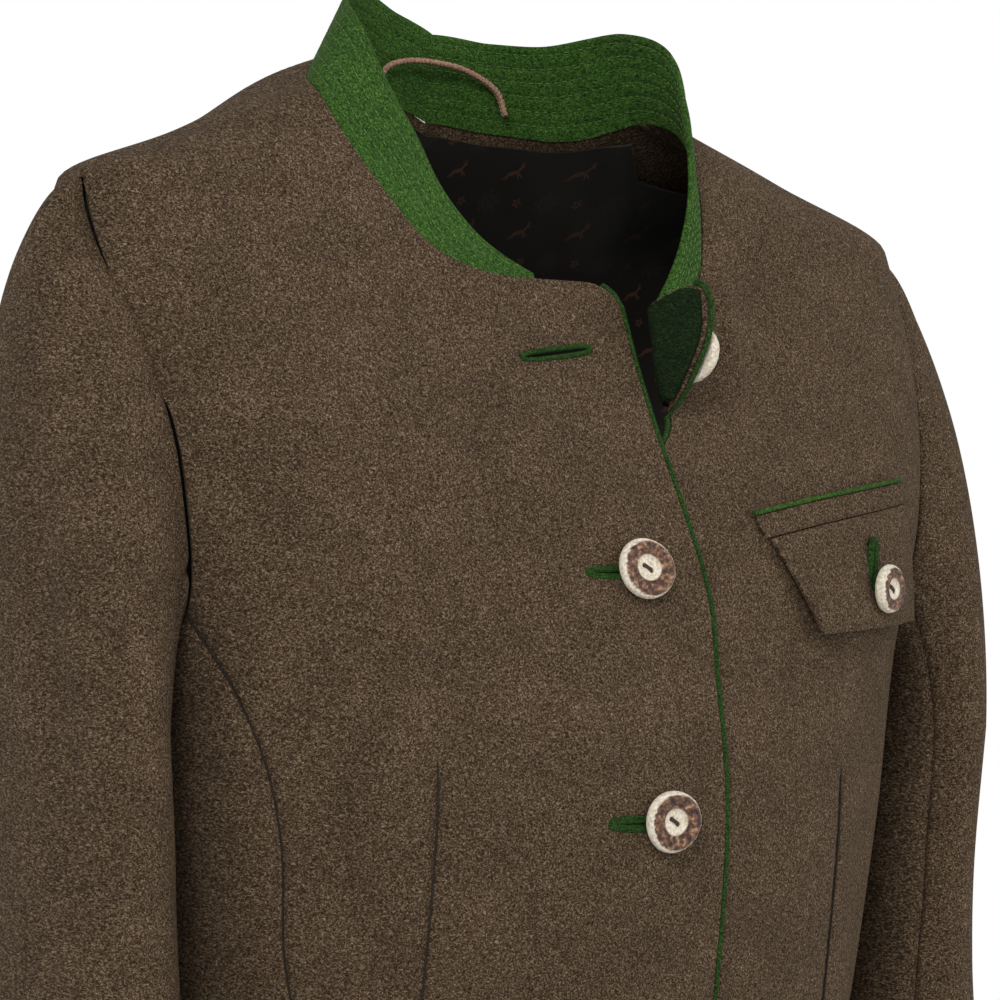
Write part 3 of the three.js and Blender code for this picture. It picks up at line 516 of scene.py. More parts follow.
def layer_area(grid):
    a = np.cross(grid[1:, :-1] - grid[:-1, :-1], grid[:-1, 1:] - grid[:-1, :-1])
    b = np.cross(grid[:-1, 1:] - grid[1:, 1:], grid[1:, :-1] - grid[1:, 1:])
    return (np.linalg.norm(a, axis=-1).sum() + np.linalg.norm(b, axis=-1).sum()) / 2e6


LEAST_CUT = 0.0101


def cut_size(grid):
    """Widest and longest run of a layer, in metres: what the piece is cut to."""
    width = np.linalg.norm(np.diff(grid, axis=0), axis=-1).sum(axis=0).max()
    length = np.linalg.norm(np.diff(grid, axis=1), axis=-1).sum(axis=1).max()
    return max(width / 1000, LEAST_CUT), max(length / 1000, LEAST_CUT)


def sewn(obj, grid, nodes, with_pieces=()):
    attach(obj, "root")
    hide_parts(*nodes)
    cut_size(grid)
    layer_area(grid)


def folded(base, folds):
    """Lift of soft folds: start, end, width and height of each, below zero for a trough."""
    x, z = base[..., 0], base[..., 2]
    lift = 0.35 * np.sin(x / 29 + z / 43) + 0.25 * np.sin(x / 17 - z / 27 + 1.3)
    for start, end, width, high in folds:
        a = np.array(start, float)
        run = np.array(end, float) - a
        t = ((base - a) @ run) / (run @ run)
        near = np.clip(t, 0, 1)
        far = np.linalg.norm(base - a - near[..., None] * run, axis=-1)
        fade = np.sin(math.pi * np.clip((t + 0.2) / 1.4, 0, 1))
        sway = 1 + 0.25 * np.sin(9 * near + width)
        lift = lift + high * sway * fade * np.exp(-((far / width) ** 2))
    return lift


def seam_dip(count, ends):
    """The last columns of a panel dip into the seam."""
    dip = np.zeros(count)
    for end in ends:
        dip[end] = -1.5
        dip[end + (1 if end == 0 else -1)] = -0.45
    return dip[:, None]


def top_dip(shape, first, last):
    """The top edge dips into the shoulder and armhole seams, but not along the neck."""
    dip = np.zeros(shape)
    dip[first:last, -1] = -1.1
    dip[first:last, -2] = -0.35
    return dip


def loden_material(name, dark, middle, light, nap):
    """Fulled wool: short fibres at all angles over a mottled ground, with a soft nap."""
    material, nodes, links = new_material(name)
    place = node(nodes, links, "ShaderNodeTexCoord").outputs["Object"]
    stir = node(nodes, links, "ShaderNodeTexNoise", {"Vector": place, "Scale": 420, "Detail": 2})
    centred = node(
        nodes, links, "ShaderNodeVectorMath",
        {0: stir.outputs["Color"], 1: (0.5, 0.5, 0.5)}, operation="SUBTRACT",
    )
    moved = node(
        nodes, links, "ShaderNodeVectorMath",
        {0: centred.outputs["Vector"], 1: (0.0022, 0.0022, 0.0022), 2: place},
        operation="MULTIPLY_ADD",
    )
    layers = []
    for turn in ((0.4, 0.2, 0.7), (1.1, -0.5, -0.8), (-0.6, 1.0, 1.9)):
        fibre_way = node(
            nodes, links, "ShaderNodeMapping",
            {"Vector": moved.outputs["Vector"], "Rotation": turn, "Scale": (1500, 420, 1500)},
        )
        fibre = node(
            nodes, links, "ShaderNodeTexNoise",
            {"Vector": fibre_way.outputs["Vector"], "Scale": 1, "Detail": 3, "Roughness": 0.6},
        )
        layers.append(fibre.outputs["Fac"])
    pair = node(nodes, links, "ShaderNodeMath", {0: layers[0], 1: layers[1]}, operation="MAXIMUM")
    fibres = node(nodes, links, "ShaderNodeMath", {0: pair.outputs[0], 1: layers[2]}, operation="MAXIMUM")
    colour = ramp(
        nodes, links, fibres.outputs[0],
        [(0.46, dark), (0.57, middle), (0.72, light)],
    )
    patch = node(nodes, links, "ShaderNodeTexNoise", {"Vector": place, "Scale": 45, "Detail": 4})
    shade = node(
        nodes, links, "ShaderNodeMapRange",
        {"Value": patch.outputs["Fac"], "From Min": 0.3, "From Max": 0.7, "To Min": 0.86, "To Max": 1.12},
    )
    worn = node(
        nodes, links, "ShaderNodeVectorMath",
        {0: colour, "Scale": shade.outputs["Result"]}, operation="SCALE",
    )
    bump = node(
        nodes, links, "ShaderNodeBump",
        {"Height": fibres.outputs[0], "Strength": 0.75, "Distance": 0.0006},
    )
    shader = nodes["Principled BSDF"]
    links.new(worn.outputs["Vector"], shader.inputs["Base Color"])
    links.new(bump.outputs["Normal"], shader.inputs["Normal"])
    shader.inputs["Roughness"].default_value = 0.95
    shader.inputs["Specular IOR Level"].default_value = 0.15
    shader.inputs["Sheen Weight"].default_value = 0.08
    shader.inputs["Sheen Roughness"].default_value = 0.5
    shader.inputs["Sheen Tint"].default_value = nap
    return material


brown_loden = loden_material(
    "brown_loden_nap", tone(40, 28, 18), tone(76, 59, 43), tone(150, 132, 108), tone(170, 150, 125)
)
green_loden = loden_material(
    "green_loden_nap", tone(22, 42, 14), tone(50, 84, 30), tone(98, 134, 60), tone(120, 150, 90)
)
piping_green = loden_material(
    "piping_green_nap", tone(16, 34, 12), tone(36, 66, 24), tone(72, 106, 46), tone(110, 140, 80)
)

neck_places = np.linspace(0, 4, 4001)
neck_xs = neck_plan(neck_places)[:, 0]


def neck_at_x(x):
    return np.interp(x, neck_xs, neck_places)


def shoulder_point(t, side):
    neck, tip = neck_point(np.array(float(NECK_SIDE))), arm_point(np.array(0.0))
    y = neck[1] + (tip[1] - neck[1]) * t + side * SEAM
    return top_point(neck[0] + (tip[0] - neck[0]) * t, y)


def drawn_in(places):
    places = places.copy()
    places[0] += 0.01
    places[-1] -= 0.01
    return places


def run(lo, hi, count):
    return np.linspace(lo, hi, count + 1)


EDGE_COLUMNS, NECK_COLUMNS, SHOULDER_COLUMNS, ARM_COLUMNS = 16, 40, 30, 46
corner_x = run(-OVERLAP, COLLAR_STOP, EDGE_COLUMNS)
corner_round = 1 - np.clip((corner_x + OVERLAP) / CORNER_REACH, 0, 1)
corner_z = neck_point(neck_at_x(corner_x))[:, 2]
corner_z = corner_z - CORNER_DROP * (1 - np.sqrt(1 - corner_round ** 2))
neck_run = run(neck_at_x(COLLAR_STOP), NECK_SIDE, NECK_COLUMNS)
front_tops = np.concatenate(
    [
        front_point(corner_x, corner_z),
        neck_point(neck_run[1:-1]),
        shoulder_point(run(0, 1, SHOULDER_COLUMNS), -1),
        arm_point(drawn_in(run(0, ARM_FRONT_SEAM, ARM_COLUMNS))[1:]),
    ]
)
front_ring_x = np.concatenate(
    [
        corner_x,
        run(COLLAR_STOP, 70, NECK_COLUMNS)[1:],
        run(70, 116, SHOULDER_COLUMNS)[1:],
        run(116, 150, ARM_COLUMNS)[1:],
    ]
)


def seam_turn(z):
    return SEAM / 2 / body_at(z)[0]


def front_edge(z):
    return angle_at(-OVERLAP, z, -1)


def front_seam(z):
    return angle_at(front_seam_x(z), z, -1) - seam_turn(z)


LEVELS = np.concatenate([np.linspace(HEM_Z, -390, 26)[:-1], np.linspace(-390, UNDERARM_Z, 48)])
UPPER = np.linspace(0, 1, 68)


def panel_grid(tops, ring_x, edge, seam, upper=UPPER):
    first, last = edge(UNDERARM_Z), seam(UNDERARM_Z)
    side = np.sign(last + first) or 1
    angle = angle_at(ring_x, np.full(len(ring_x), float(UNDERARM_Z)), side)
    angle[0], angle[-1] = first, last
    share = ((angle - first) / (last - first))[:, None]
    low = ring_point(edge(LEVELS) * (1 - share) + seam(LEVELS) * share, LEVELS[None] + 0 * share)
    high = between(low[:, -1], tops, upper[1:])
    return np.concatenate([low, high], axis=1)


front_grid = panel_grid(front_tops, front_ring_x, front_edge, front_seam)

# Folds in the cloth as worn, by place on the half jacket, x outwards.
RIGHT_FRONT_FOLDS = [
    ((128, -84, -238), (114, -96, -338), 13, -2.6),
    ((150, -62, -120), (146, -82, -205), 12, -2.2),
    ((96, -106, -205), (60, -128, -262), 17, -1.3),
    ((70, -92, -110), (95, -100, -175), 18, 1.2),
    ((30, -112, -330), (92, -108, -400), 15, -1.8),
    ((20, -118, -470), (60, -108, -560), 16, -2.4),
    ((110, -84, -450), (128, -88, -580), 18, 2.6),
]
LEFT_FRONT_FOLDS = [
    ((80, -56, -52), (66, -96, -112), 9, 2.4),
    ((98, -62, -56), (84, -98, -120), 11, -1.8),
    ((150, -60, -125), (140, -86, -200), 12, -1.8),
    ((120, -92, -235), (108, -102, -330), 15, -2.0),
    ((22, -118, -480), (70, -106, -570), 15, -2.2),
]


def front_lift(grid, folds):
    lift = folded(grid, folds)
    dart = 3 * np.exp(-(((grid[..., 0] - 90) / 2.2) ** 2)) * ease(-247, -268, grid[..., 2])
    dart = dart * (1 - ease(-455, -480, grid[..., 2]))
    quiet = ease(0, 26, grid[..., 0] + OVERLAP)
    lift = lift * quiet - 0.5 * dart + seam_dip(len(grid), [-1])
    return lift + top_dip(lift.shape, len(corner_x) + NECK_COLUMNS - 1, None)


def cloth_panel(name, grid, put, lift, thick, materials):
    outer = put(grid, lift)
    return wall(name, outer, put(grid, lift - thick), materials), outer


def set_frame(put, base, lift):
    """Where a flat thing sits on a panel: its middle and its across, up and out ways."""
    start = put(base, lift)
    out = unit(put(base, lift + 1) - start)
    across = unit(np.cross(UP, out))
    return start, np.stack([across, np.cross(out, across), out])


def placed(points, spot):
    start, ways = spot
    return start + points @ ways


def turned_flat(points, angle):
    c, s = math.cos(angle), math.sin(angle)
    x, y = points[:, 0] * c - points[:, 1] * s, points[:, 0] * s + points[:, 1] * c
    return np.stack([x, y, points[:, 2]], axis=1)


right_lift = front_lift(front_grid, RIGHT_FRONT_FOLDS)
right_front, right_outer = cloth_panel(
    "right_front_cloth", front_grid, on_right_front, right_lift, LODEN, [brown_loden]
)
left_lift = front_lift(front_grid, LEFT_FRONT_FOLDS)
left_front, left_outer = cloth_panel(
    "left_front_cloth", front_grid, on_left_front, left_lift, LODEN, [brown_loden]
)

# ---------------------------------------------------------------- Buttonholes
# Five holes bound with green cloth, cut through the right front. The lips are a narrow roll
# of cloth on each side of the slot.
BUTTON_SPACING = 91
FIRST_BUTTON_Z = -93
HOLE_LENGTH, HOLE_GAP, LIP_WIDTH, LIP_THICK = 30, 1.8, 1.6, 2.6
HOLE_MIDDLE_X = 12
HOLE_TURN = math.radians(9)


def slot_outline(half_x, half_y, count):
    """Long soft oval, a little pointed at its ends."""
    turn = np.arange(count) / count * 2 * math.pi
    c, s = np.cos(turn), np.sin(turn)
    return half_x * np.sign(c) * np.abs(c) ** 0.55, half_y * np.sign(s) * np.abs(s) ** 0.75


def hole_lips(length, fullness):
    """Closed roll round a slot, in its own plane; fuller lips meet in the middle."""
    half_x, half_y = length / 2 + LIP_WIDTH / 2, HOLE_GAP / 2 + LIP_WIDTH / 2
    x, y = slot_outline(half_x, half_y, 96)
    ways = np.stack([0.3 * (x / half_x) ** 9, y / half_y], axis=1)
    ways = unit(ways + np.stack([np.sign(x) * 1e-3, 0 * y], axis=1))
    sides = 10
    round_ = np.arange(sides) / sides * 2 * math.pi
    wide = (LIP_WIDTH / 2 + fullness) * np.cos(round_)
    thick = LIP_THICK / 2 * np.sin(round_)
    points = np.stack(
        [
            x[:, None] + ways[:, :1] * wide,
            y[:, None] + ways[:, 1:] * wide,
            thick[None] + 0 * x[:, None],
        ],
        axis=-1,
    ).reshape(-1, 3)
    faces = []
    for i in range(96):
        for j in range(sides):
            n, k = (i + 1) % 96, (j + 1) % sides
            faces.append((i * sides + j, n * sides + j, n * sides + k, i * sides + k))
    return points, faces


def cutter_box(length):
    x, y = slot_outline(length / 2 + LIP_WIDTH, HOLE_GAP / 2 + LIP_WIDTH, 48)
    low, high = (np.stack([x, y, k + 0 * x], axis=1) for k in (-7, 7))
    faces = [tuple(reversed(range(48))), tuple(range(48, 96))]
    faces += [(i, (i + 1) % 48, 48 + (i + 1) % 48, 48 + i) for i in range(48)]
    return np.concatenate([low, high]), faces


def cut_windows(obj, cutters):
    knife = new_piece("window_cutter", *joined(cutters), [])
    cut = obj.modifiers.new("windows", "BOOLEAN")
    cut.object = knife
    cut.operation = "DIFFERENCE"
    cut.solver = "EXACT"
    bpy.context.view_layer.update()
    evaluated = obj.evaluated_get(bpy.context.evaluated_depsgraph_get())
    mesh = bpy.data.meshes.new_from_object(evaluated)
    obj.modifiers.clear()
    obj.data = mesh
    bpy.data.objects.remove(knife)


hole_spots, cutters, hole_pieces = [], [], []
for i in range(5):
    z = FIRST_BUTTON_Z - BUTTON_SPACING * i - (11 if i == 0 else 1)
    turn = HOLE_TURN if i == 0 else 0
    base = front_point(HOLE_MIDDLE_X, z)
    spot = set_frame(on_right_front, base, 0.5 - LODEN / 2)
    points, faces = cutter_box(HOLE_LENGTH)
    cutters.append((placed(turned_flat(points, turn), spot), faces))
    points, faces = hole_lips(HOLE_LENGTH, 0.25 if i == 0 else 0.85)
    lips = new_piece(f"buttonhole_{i + 1}_lips", placed(turned_flat(points, turn), spot), faces, [piping_green])
    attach(lips, "root")
    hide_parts(f"buttonhole_{i + 1}")
    hole_pieces.append(lips)
cut_windows(right_front, cutters)

# ---------------------------------------------------------------- Stag horn buttons
# Discs sawn across an antler: mottled bark on the face, pale horn where it is cut, a white
# dished middle with two holes, sewn on with dark thread. The top one shows its edge.
BUTTON_D, BUTTON_THICK, DISH_R = 23, 4.4, 4.5
BUTTON_SIDES = 80
THREAD_TURN = math.radians(-35)


def horn_button(diameter, seed):
    """Points, faces and the share of bare cut horn of one button, in its own frame."""
    rng = np.random.default_rng(seed)
    r, t = diameter / 2, BUTTON_THICK
    dish = DISH_R * diameter / BUTTON_D
    corners = np.array(
        [
            (0, t - 1.4), (dish - 0.5, t - 1.25), (dish, t - 0.9), (dish + 0.5, t - 0.3),
            (dish + 1.2, t - 0.15), (r - 2.4, t), (r - 1.2, t - 0.15), (r - 0.35, t - 0.9),
            (r, t - 2), (r, 1.4), (r - 0.5, 0.4), (r - 1.2, 0), (0, 0),
        ]
    )
    path_run = np.concatenate([[0], np.cumsum(np.linalg.norm(np.diff(corners, axis=0), axis=1))])
    steps = np.linspace(0, path_run[-1], 70)[1:-1]
    radius, height = (np.interp(steps, path_run, corners[:, k]) for k in range(2))
    top = steps < path_run[7]
    turn = np.arange(BUTTON_SIDES) / BUTTON_SIDES * 2 * math.pi
    phase = rng.uniform(0, 2 * math.pi, 8)
    outline = 1 + 0.018 * np.sin(2 * turn + phase[0]) + 0.014 * np.sin(3 * turn + phase[1])
    x = radius[:, None] * np.cos(turn) * outline
    y = radius[:, None] * np.sin(turn) * outline
    bark = ease(dish + 0.6, dish + 1.6, radius)[:, None] * top[:, None]
    lumps = np.sin(1.3 * x + phase[2]) * np.sin(1.7 * y + phase[3]) + 0.6 * np.sin(3.1 * x - 2.3 * y + phase[4])
    holes = 0
    for side in (-1, 1):
        far = np.hypot(x - side * 1.7, y)
        holes = holes + np.exp(-((far / 0.75) ** 4))
    z = height[:, None] + 0.22 * bark * lumps - 2.2 * holes * (steps < path_run[1])[:, None]
    lower_left = np.cos(turn - math.radians(225) - THREAD_TURN)
    rim = ease(r - 1.5, r - 0.9, radius[:, None] + 0.55 * lower_left - 0.1 + 0.2 * lumps)
    bare = np.maximum(np.maximum(1 - ease(dish + 0.2, dish + 0.7, radius)[:, None], rim), ~top[:, None])
    points = np.stack([x, y, z], axis=-1).reshape(-1, 3)
    points = np.concatenate([points, [[0, 0, t - 1.4], [0, 0, 0]]])
    bare = np.concatenate([np.broadcast_to(bare, x.shape).ravel(), [1, 1]])
    n, faces = BUTTON_SIDES, []
    for i in range(len(steps) - 1):
        for j in range(n):
            k = (j + 1) % n
            faces.append((i * n + j, (i + 1) * n + j, (i + 1) * n + k, i * n + k))
    last = (len(steps) - 1) * n
    for j in range(n):
        k = (j + 1) % n
        faces.append((len(steps) * n, j, k))
        faces.append((len(steps) * n + 1, last + k, last + j))
    return points, faces, bare


def horn_material():
    material, nodes, links = new_material("stag_horn_cut")
    place = node(nodes, links, "ShaderNodeTexCoord").outputs["Object"]
    bare = node(nodes, links, "ShaderNodeAttribute", attribute_name="bare").outputs["Fac"]
    mottle = node(nodes, links, "ShaderNodeTexNoise", {"Vector": place, "Scale": 440, "Detail": 5, "Roughness": 0.65})
    bark = ramp(
        nodes, links, mottle.outputs["Fac"],
        [
            (0.36, tone(36, 22, 16)), (0.46, tone(78, 48, 34)), (0.54, tone(112, 74, 52)),
            (0.6, tone(146, 108, 76)), (0.68, tone(190, 158, 120)),
        ],
    )
    pores = node(nodes, links, "ShaderNodeTexNoise", {"Vector": place, "Scale": 900, "Detail": 3})
    horn = ramp(
        nodes, links, pores.outputs["Fac"],
        [(0.35, tone(206, 188, 160)), (0.5, tone(233, 221, 200)), (0.65, tone(246, 240, 226))],
    )
    mix = node(nodes, links, "ShaderNodeMix", {"Factor": bare}, data_type="RGBA")
    links.new(bark, mix.inputs[6])
    links.new(horn, mix.inputs[7])
    bump = node(nodes, links, "ShaderNodeBump", {"Height": mottle.outputs["Fac"], "Strength": 0.45, "Distance": 0.0005})
    shader = nodes["Principled BSDF"]
    links.new(mix.outputs[2], shader.inputs["Base Color"])
    links.new(bump.outputs["Normal"], shader.inputs["Normal"])
    shader.inputs["Roughness"].default_value = 0.42
    return material


def thread_material():
    material, nodes, links = new_material("button_thread_twist")
    place = node(nodes, links, "ShaderNodeTexCoord").outputs["Object"]
    ply = node(nodes, links, "ShaderNodeTexNoise", {"Vector": place, "Scale": 2600, "Detail": 2})
    colour = ramp(nodes, links, ply.outputs["Fac"], [(0.35, tone(34, 22, 17)), (0.65, tone(86, 62, 48))])
    shader = nodes["Principled BSDF"]
    links.new(colour, shader.inputs["Base Color"])
    shader.inputs["Roughness"].default_value = 0.7
    return material


stag_horn, brown_thread = horn_material(), thread_material()


def sew_button(name, diameter, spot, seed):
    points, faces, bare = horn_button(diameter, seed)
    disc = new_piece(f"{name}_horn", placed(turned_flat(points, THREAD_TURN), spot), faces, [stag_horn])
    mark = disc.data.attributes.new("bare", "FLOAT", "POINT")
    mark.data.foreach_set("value", bare.astype(np.float32))
    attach(disc, "root")
    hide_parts(name)
    threads = []
    floor_z = BUTTON_THICK - 1.4
    for k in (-0.45, 0, 0.45):
        t = np.linspace(-1, 1, 13)
        arch = np.stack([1.9 * t, np.full(13, k), floor_z + 0.75 * np.sqrt(np.maximum(0, 1 - t ** 4)) - 0.45], axis=1)
        threads.append(tube(placed(turned_flat(arch, THREAD_TURN), spot), 0.3, 6))
    sewing = new_piece(f"{name}_thread", *joined(threads), [brown_thread])
    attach(sewing, "root")
    return [disc, sewing]


button_pieces = []
for i in range(5):
    z = FIRST_BUTTON_Z - BUTTON_SPACING * i
    if i == 0:
        spot = set_frame(on_left_front, front_point(-12, -99), 1.6)
    else:
        spot = set_frame(on_right_front, front_point(4, z), 1.9)
    button_pieces.append(sew_button(f"button_{i + 1}", BUTTON_D, spot, 11 + i))

# ---------------------------------------------------------------- Edge piping
# A narrow roll of green cloth, caught in the front edge seams from the hem round the corner.
PIPING_WIDTH = 2.3
PIPING_SIDES = 12


def edge_piping(name, put):
    corner_columns = int(np.searchsorted(corner_x, -14))
    edge = np.concatenate([front_grid[0], front_grid[1:corner_columns, -1]])
    inner = np.concatenate([front_grid[1], front_grid[1:corner_columns, -2]])
    ahead = np.concatenate([edge[1:], edge[-1:]])
    behind = np.concatenate([edge[:1], edge[:-1]])
    way = unit(np.cross(unit(ahead - behind), normal_at(edge)))
    way = np.where(((edge - inner) * way).sum(axis=1)[:, None] < 0, -way, way)
    turn = np.arange(PIPING_SIDES) / PIPING_SIDES * 2 * math.pi
    half = PIPING_WIDTH / 2
    points = []
    for angle in turn:
        out = edge + way * (SEAM + half + half * math.cos(angle))
        points.append(put(out, 0.1 - LODEN / 2 + (LODEN / 2 + 0.1) * math.sin(angle)))
    rows = np.stack(points, axis=1)
    n, faces = len(rows), []
    for i in range(n - 1):
        for j in range(PIPING_SIDES):
            k = (j + 1) % PIPING_SIDES
            a, b = i * PIPING_SIDES, (i + 1) * PIPING_SIDES
            faces.append((a + j, a + k, b + k, b + j))
    faces.append(tuple(reversed(range(PIPING_SIDES))))
    faces.append(tuple((n - 1) * PIPING_SIDES + j for j in range(PIPING_SIDES)))
    if put is on_right_front:
        faces = [tuple(reversed(f)) for f in faces]
    obj = new_piece(f"{name}_roll", rows.reshape(-1, 3), faces, [piping_green])
    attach(obj, "root")
    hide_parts(name)
    return obj


right_piping = edge_piping("right_front_piping", on_right_front)
left_piping = edge_piping("left_front_piping", on_left_front)
right_trims = [right_piping, *hole_pieces, *[p for pair in button_pieces[1:] for p in pair]]
sewn(right_front, right_outer, ["right_front"], with_pieces=right_trims)
sewn(left_front, left_outer, ["left_front"], with_pieces=[left_piping, *button_pieces[0]])

# ---------------------------------------------------------------- Facing
# Green velvety cloth inside the left front, seen where its corner has rolled out; its dark colours are painted shade
# for the shadow on this inner face.
FACING_CLOTH = 1.0
# Colours darker than the green loden: painted shade for the shadow on the turned-out facing.
facing_green = loden_material(
    "facing_green_pile_painted_shade", tone(10, 20, 9), tone(22, 38, 16), tone(42, 64, 30), tone(70, 100, 60)
)
facing_columns = (corner_x > -21) & (corner_x <= COLLAR_STOP)
facing_base = between(
    front_grid[: len(corner_x)][facing_columns][:, len(LEVELS) - 1],
    front_tops[: len(corner_x)][facing_columns],
    np.linspace(0.79, 0.995, 40),
)
facing_lift = -LODEN - 2 * SEAM
facing_outer = on_left_front(facing_base, facing_lift)
facing = wall(
    "left_facing_cloth", facing_outer, on_left_front(facing_base, facing_lift - FACING_CLOTH), [facing_green]
)
sewn(facing, facing_outer, ["left_facing"])

# ---------------------------------------------------------------- Side panels and backs
# Loden panels under the arms, and two backs joined by a centre seam, sewn edge to edge.
BACK_COLUMNS = 30


def side_front(z):
    return angle_at(front_seam_x(z), z, -1) + seam_turn(z)


def side_back(z):
    return angle_at(back_seam_x(z), z, 1) - seam_turn(z)


def back_seam(z):
    return angle_at(back_seam_x(z), z, 1) + seam_turn(z)


def back_middle(z):
    return math.pi / 2 - seam_turn(z)


side_share = run(0, 1, 34)[:, None]
side_low = ring_point(
    side_front(LEVELS) * (1 - side_share) + side_back(LEVELS) * side_share, LEVELS[None] + 0 * side_share
)
side_tops = arm_point(drawn_in(run(ARM_FRONT_SEAM, ARM_BACK_SEAM, 34)))
side_grid = np.concatenate([side_low, between(side_low[:, -1], side_tops, UPPER[1:])], axis=1)
back_tops = np.concatenate(
    [
        arm_point(drawn_in(run(ARM_BACK_SEAM, ARM_TIP, 40))[:-1]),
        shoulder_point(1 - run(0, 1, SHOULDER_COLUMNS), 1),
        neck_point(run(NECK_SIDE, NECK_BACK, BACK_COLUMNS)[1:]),
    ]
)
back_ring_x = np.concatenate(
    [
        run(float(back_seam_x(UNDERARM_Z)), 112, 40),
        run(112, 64, SHOULDER_COLUMNS)[1:],
        run(64, 0, BACK_COLUMNS)[1:],
    ]
)
back_grid = panel_grid(back_tops, back_ring_x, back_seam, back_middle)
SIDE_FOLDS = [
    ((150, -10, -240), (140, 10, -330), 12, -2.0),
    ((128, 0, -390), (150, -12, -520), 15, 2.4),
]
BACK_FOLDS = [
    ((130, 78, -120), (112, 92, -215), 13, -2.4),
    ((84, 90, -230), (60, 86, -330), 16, -2.0),
    ((30, 92, -360), (84, 78, -410), 12, -2.6),
    ((24, 86, -395), (70, 80, -430), 10, 1.8),
    ((50, 96, -470), (62, 104, -590), 18, 3.0),
]
LEFT_BACK_FOLDS = [
    ((134, 76, -105), (118, 90, -190), 12, -2.0),
    ((90, 90, -240), (58, 84, -350), 15, -2.3),
    ((36, 88, -375), (92, 74, -418), 13, -2.2),
    ((56, 96, -460), (74, 102, -600), 16, 2.6),
]
for label, side, folds in (("right", -1, BACK_FOLDS), ("left", 1, LEFT_BACK_FOLDS)):
    put = on_side(side)
    lift = folded(side_grid, SIDE_FOLDS) + seam_dip(len(side_grid), [0, -1])
    lift = lift + top_dip(lift.shape, 0, None)
    panel, outer = cloth_panel(f"{label}_side_cloth", side_grid, put, lift, LODEN, [brown_loden])
    sewn(panel, outer, [f"{label}_side_panel"])
    lift = folded(back_grid, folds) + seam_dip(len(back_grid), [0, -1])
    lift = lift + top_dip(lift.shape, 0, len(back_grid) - BACK_COLUMNS)
    panel, outer = cloth_panel(f"{label}_back_cloth", back_grid, put, lift, LODEN, [brown_loden])
    sewn(panel, outer, [f"{label}_back"])

# ---------------------------------------------------------------- Sleeves
# Two-piece set-in sleeves of loden, a wide top piece and a narrow one under the arm.
SLEEVE = [
    (-245, 185, -5, 24, 67), (-300, 181, -6, 24, 66), (-340, 180, -7, 27, 64),
    (-410, 186, -10, 35, 58), (-500, 213, -16, 42, 50), (-600, 232, -30, 40, 44),
    (-655, 241, -38, 39, 42),
]
CUFF_Z, SLEEVE_TOP_Z = -655, -245
SLEEVE_FRONT, SLEEVE_BACK = 6.125, 13.357
SLEEVE_SLANT, SLEEVE_SEAM = 0.25, 0.3
sleeve_x, sleeve_y, sleeve_half, sleeve_depth = (curve(SLEEVE, 0, k) for k in range(1, 5))


def sleeve_ring(place, z):
    turn = place / ARM_TIP * 2 * math.pi
    x = sleeve_half(z) * np.cos(turn)
    slant = SLEEVE_SLANT * x * (1 - ease(0, 120, SLEEVE_TOP_Z - z))
    return np.stack(np.broadcast_arrays(sleeve_x(z) + x, sleeve_y(z) - sleeve_depth(z) * np.sin(turn), z + slant), axis=-1)


def sleeve_point(place, along):
    place, along = np.broadcast_arrays(place, along)
    low = sleeve_ring(place, SLEEVE_TOP_Z + (CUFF_Z - SLEEVE_TOP_Z) * np.clip(along - 1, 0, 1))
    turn = place / ARM_TIP * 2 * math.pi
    under = (1 - np.cos(turn)) / 2
    leave = np.stack([1 - 0.5 * under, -0.3 * np.sin(turn), -0.2 - 0.65 * under], axis=-1)
    a = arm_point(place) + leave * SLEEVE_SEAM
    b = sleeve_ring(place, np.full(place.shape, float(SLEEVE_TOP_Z)))
    out = leave * (92 * (1 - under) ** 1.2 + 18)[..., None]
    down = -(170 * (1 - under) + 25)[..., None] * UP
    t = np.clip(along, 0, 1)[..., None]
    cap = a * (1 + 2 * t) * (1 - t) ** 2 + out * t * (1 - t) ** 2
    cap = cap + b * t * t * (3 - 2 * t) + down * t * t * (t - 1)
    return np.where((along >= 1)[..., None], low, cap)


def sleeve_normal(place, along):
    d = 0.02
    around = sleeve_point(place + d, along) - sleeve_point(place - d, along)
    ahead = np.minimum(along + d, 2)
    down = sleeve_point(place, ahead) - sleeve_point(place, np.maximum(0, ahead - 2 * d))
    return unit(np.cross(around, down))


RIGHT_SLEEVE_FOLDS = [
    ((212, -18, -150), (206, -46, -262), 13, -3.4),
    ((205, -40, -180), (200, -62, -300), 12, 2.0),
    ((198, 20, -140), (208, 42, -230), 13, -2.6),
    ((206, -62, -380), (232, -30, -430), 12, -3.6),
    ((210, -66, -410), (240, -20, -470), 12, 2.8),
    ((214, 30, -420), (250, 0, -470), 14, -3.2),
    ((226, -70, -520), (256, -30, -560), 13, -2.6),
]
LEFT_SLEEVE_FOLDS = [
    ((214, -14, -160), (206, -40, -250), 12, -2.6),
    ((202, 10, -150), (206, 30, -250), 14, -2.4),
    ((204, -58, -390), (236, -24, -440), 13, -3.2),
    ((212, -62, -430), (244, -16, -480), 12, 2.6),
    ((228, -66, -530), (262, -26, -580), 14, -2.4),
]


def sleeve_piece(name, side, places, folds):
    rows = np.concatenate([np.linspace(0, 1, 60), np.linspace(1, 2, 84)[1:]])
    place, along = np.broadcast_arrays(drawn_in(places)[:, None], rows[None])
    base, out = sleeve_point(place, along), sleeve_normal(place, along)
    cap_end = 1.3 * np.exp(-along / 0.02)
    lift = folded(base, folds) + seam_dip(len(places), [0, -1]) - cap_end
    mirror = np.array([side, 1, 1])
    outer = hang((base + out * lift[..., None]) * mirror)
    inner = hang((base + out * (lift - LODEN)[..., None]) * mirror)
    obj = wall(f"{name}_cloth", outer, inner, [brown_loden])
    sewn(obj, outer, [name])


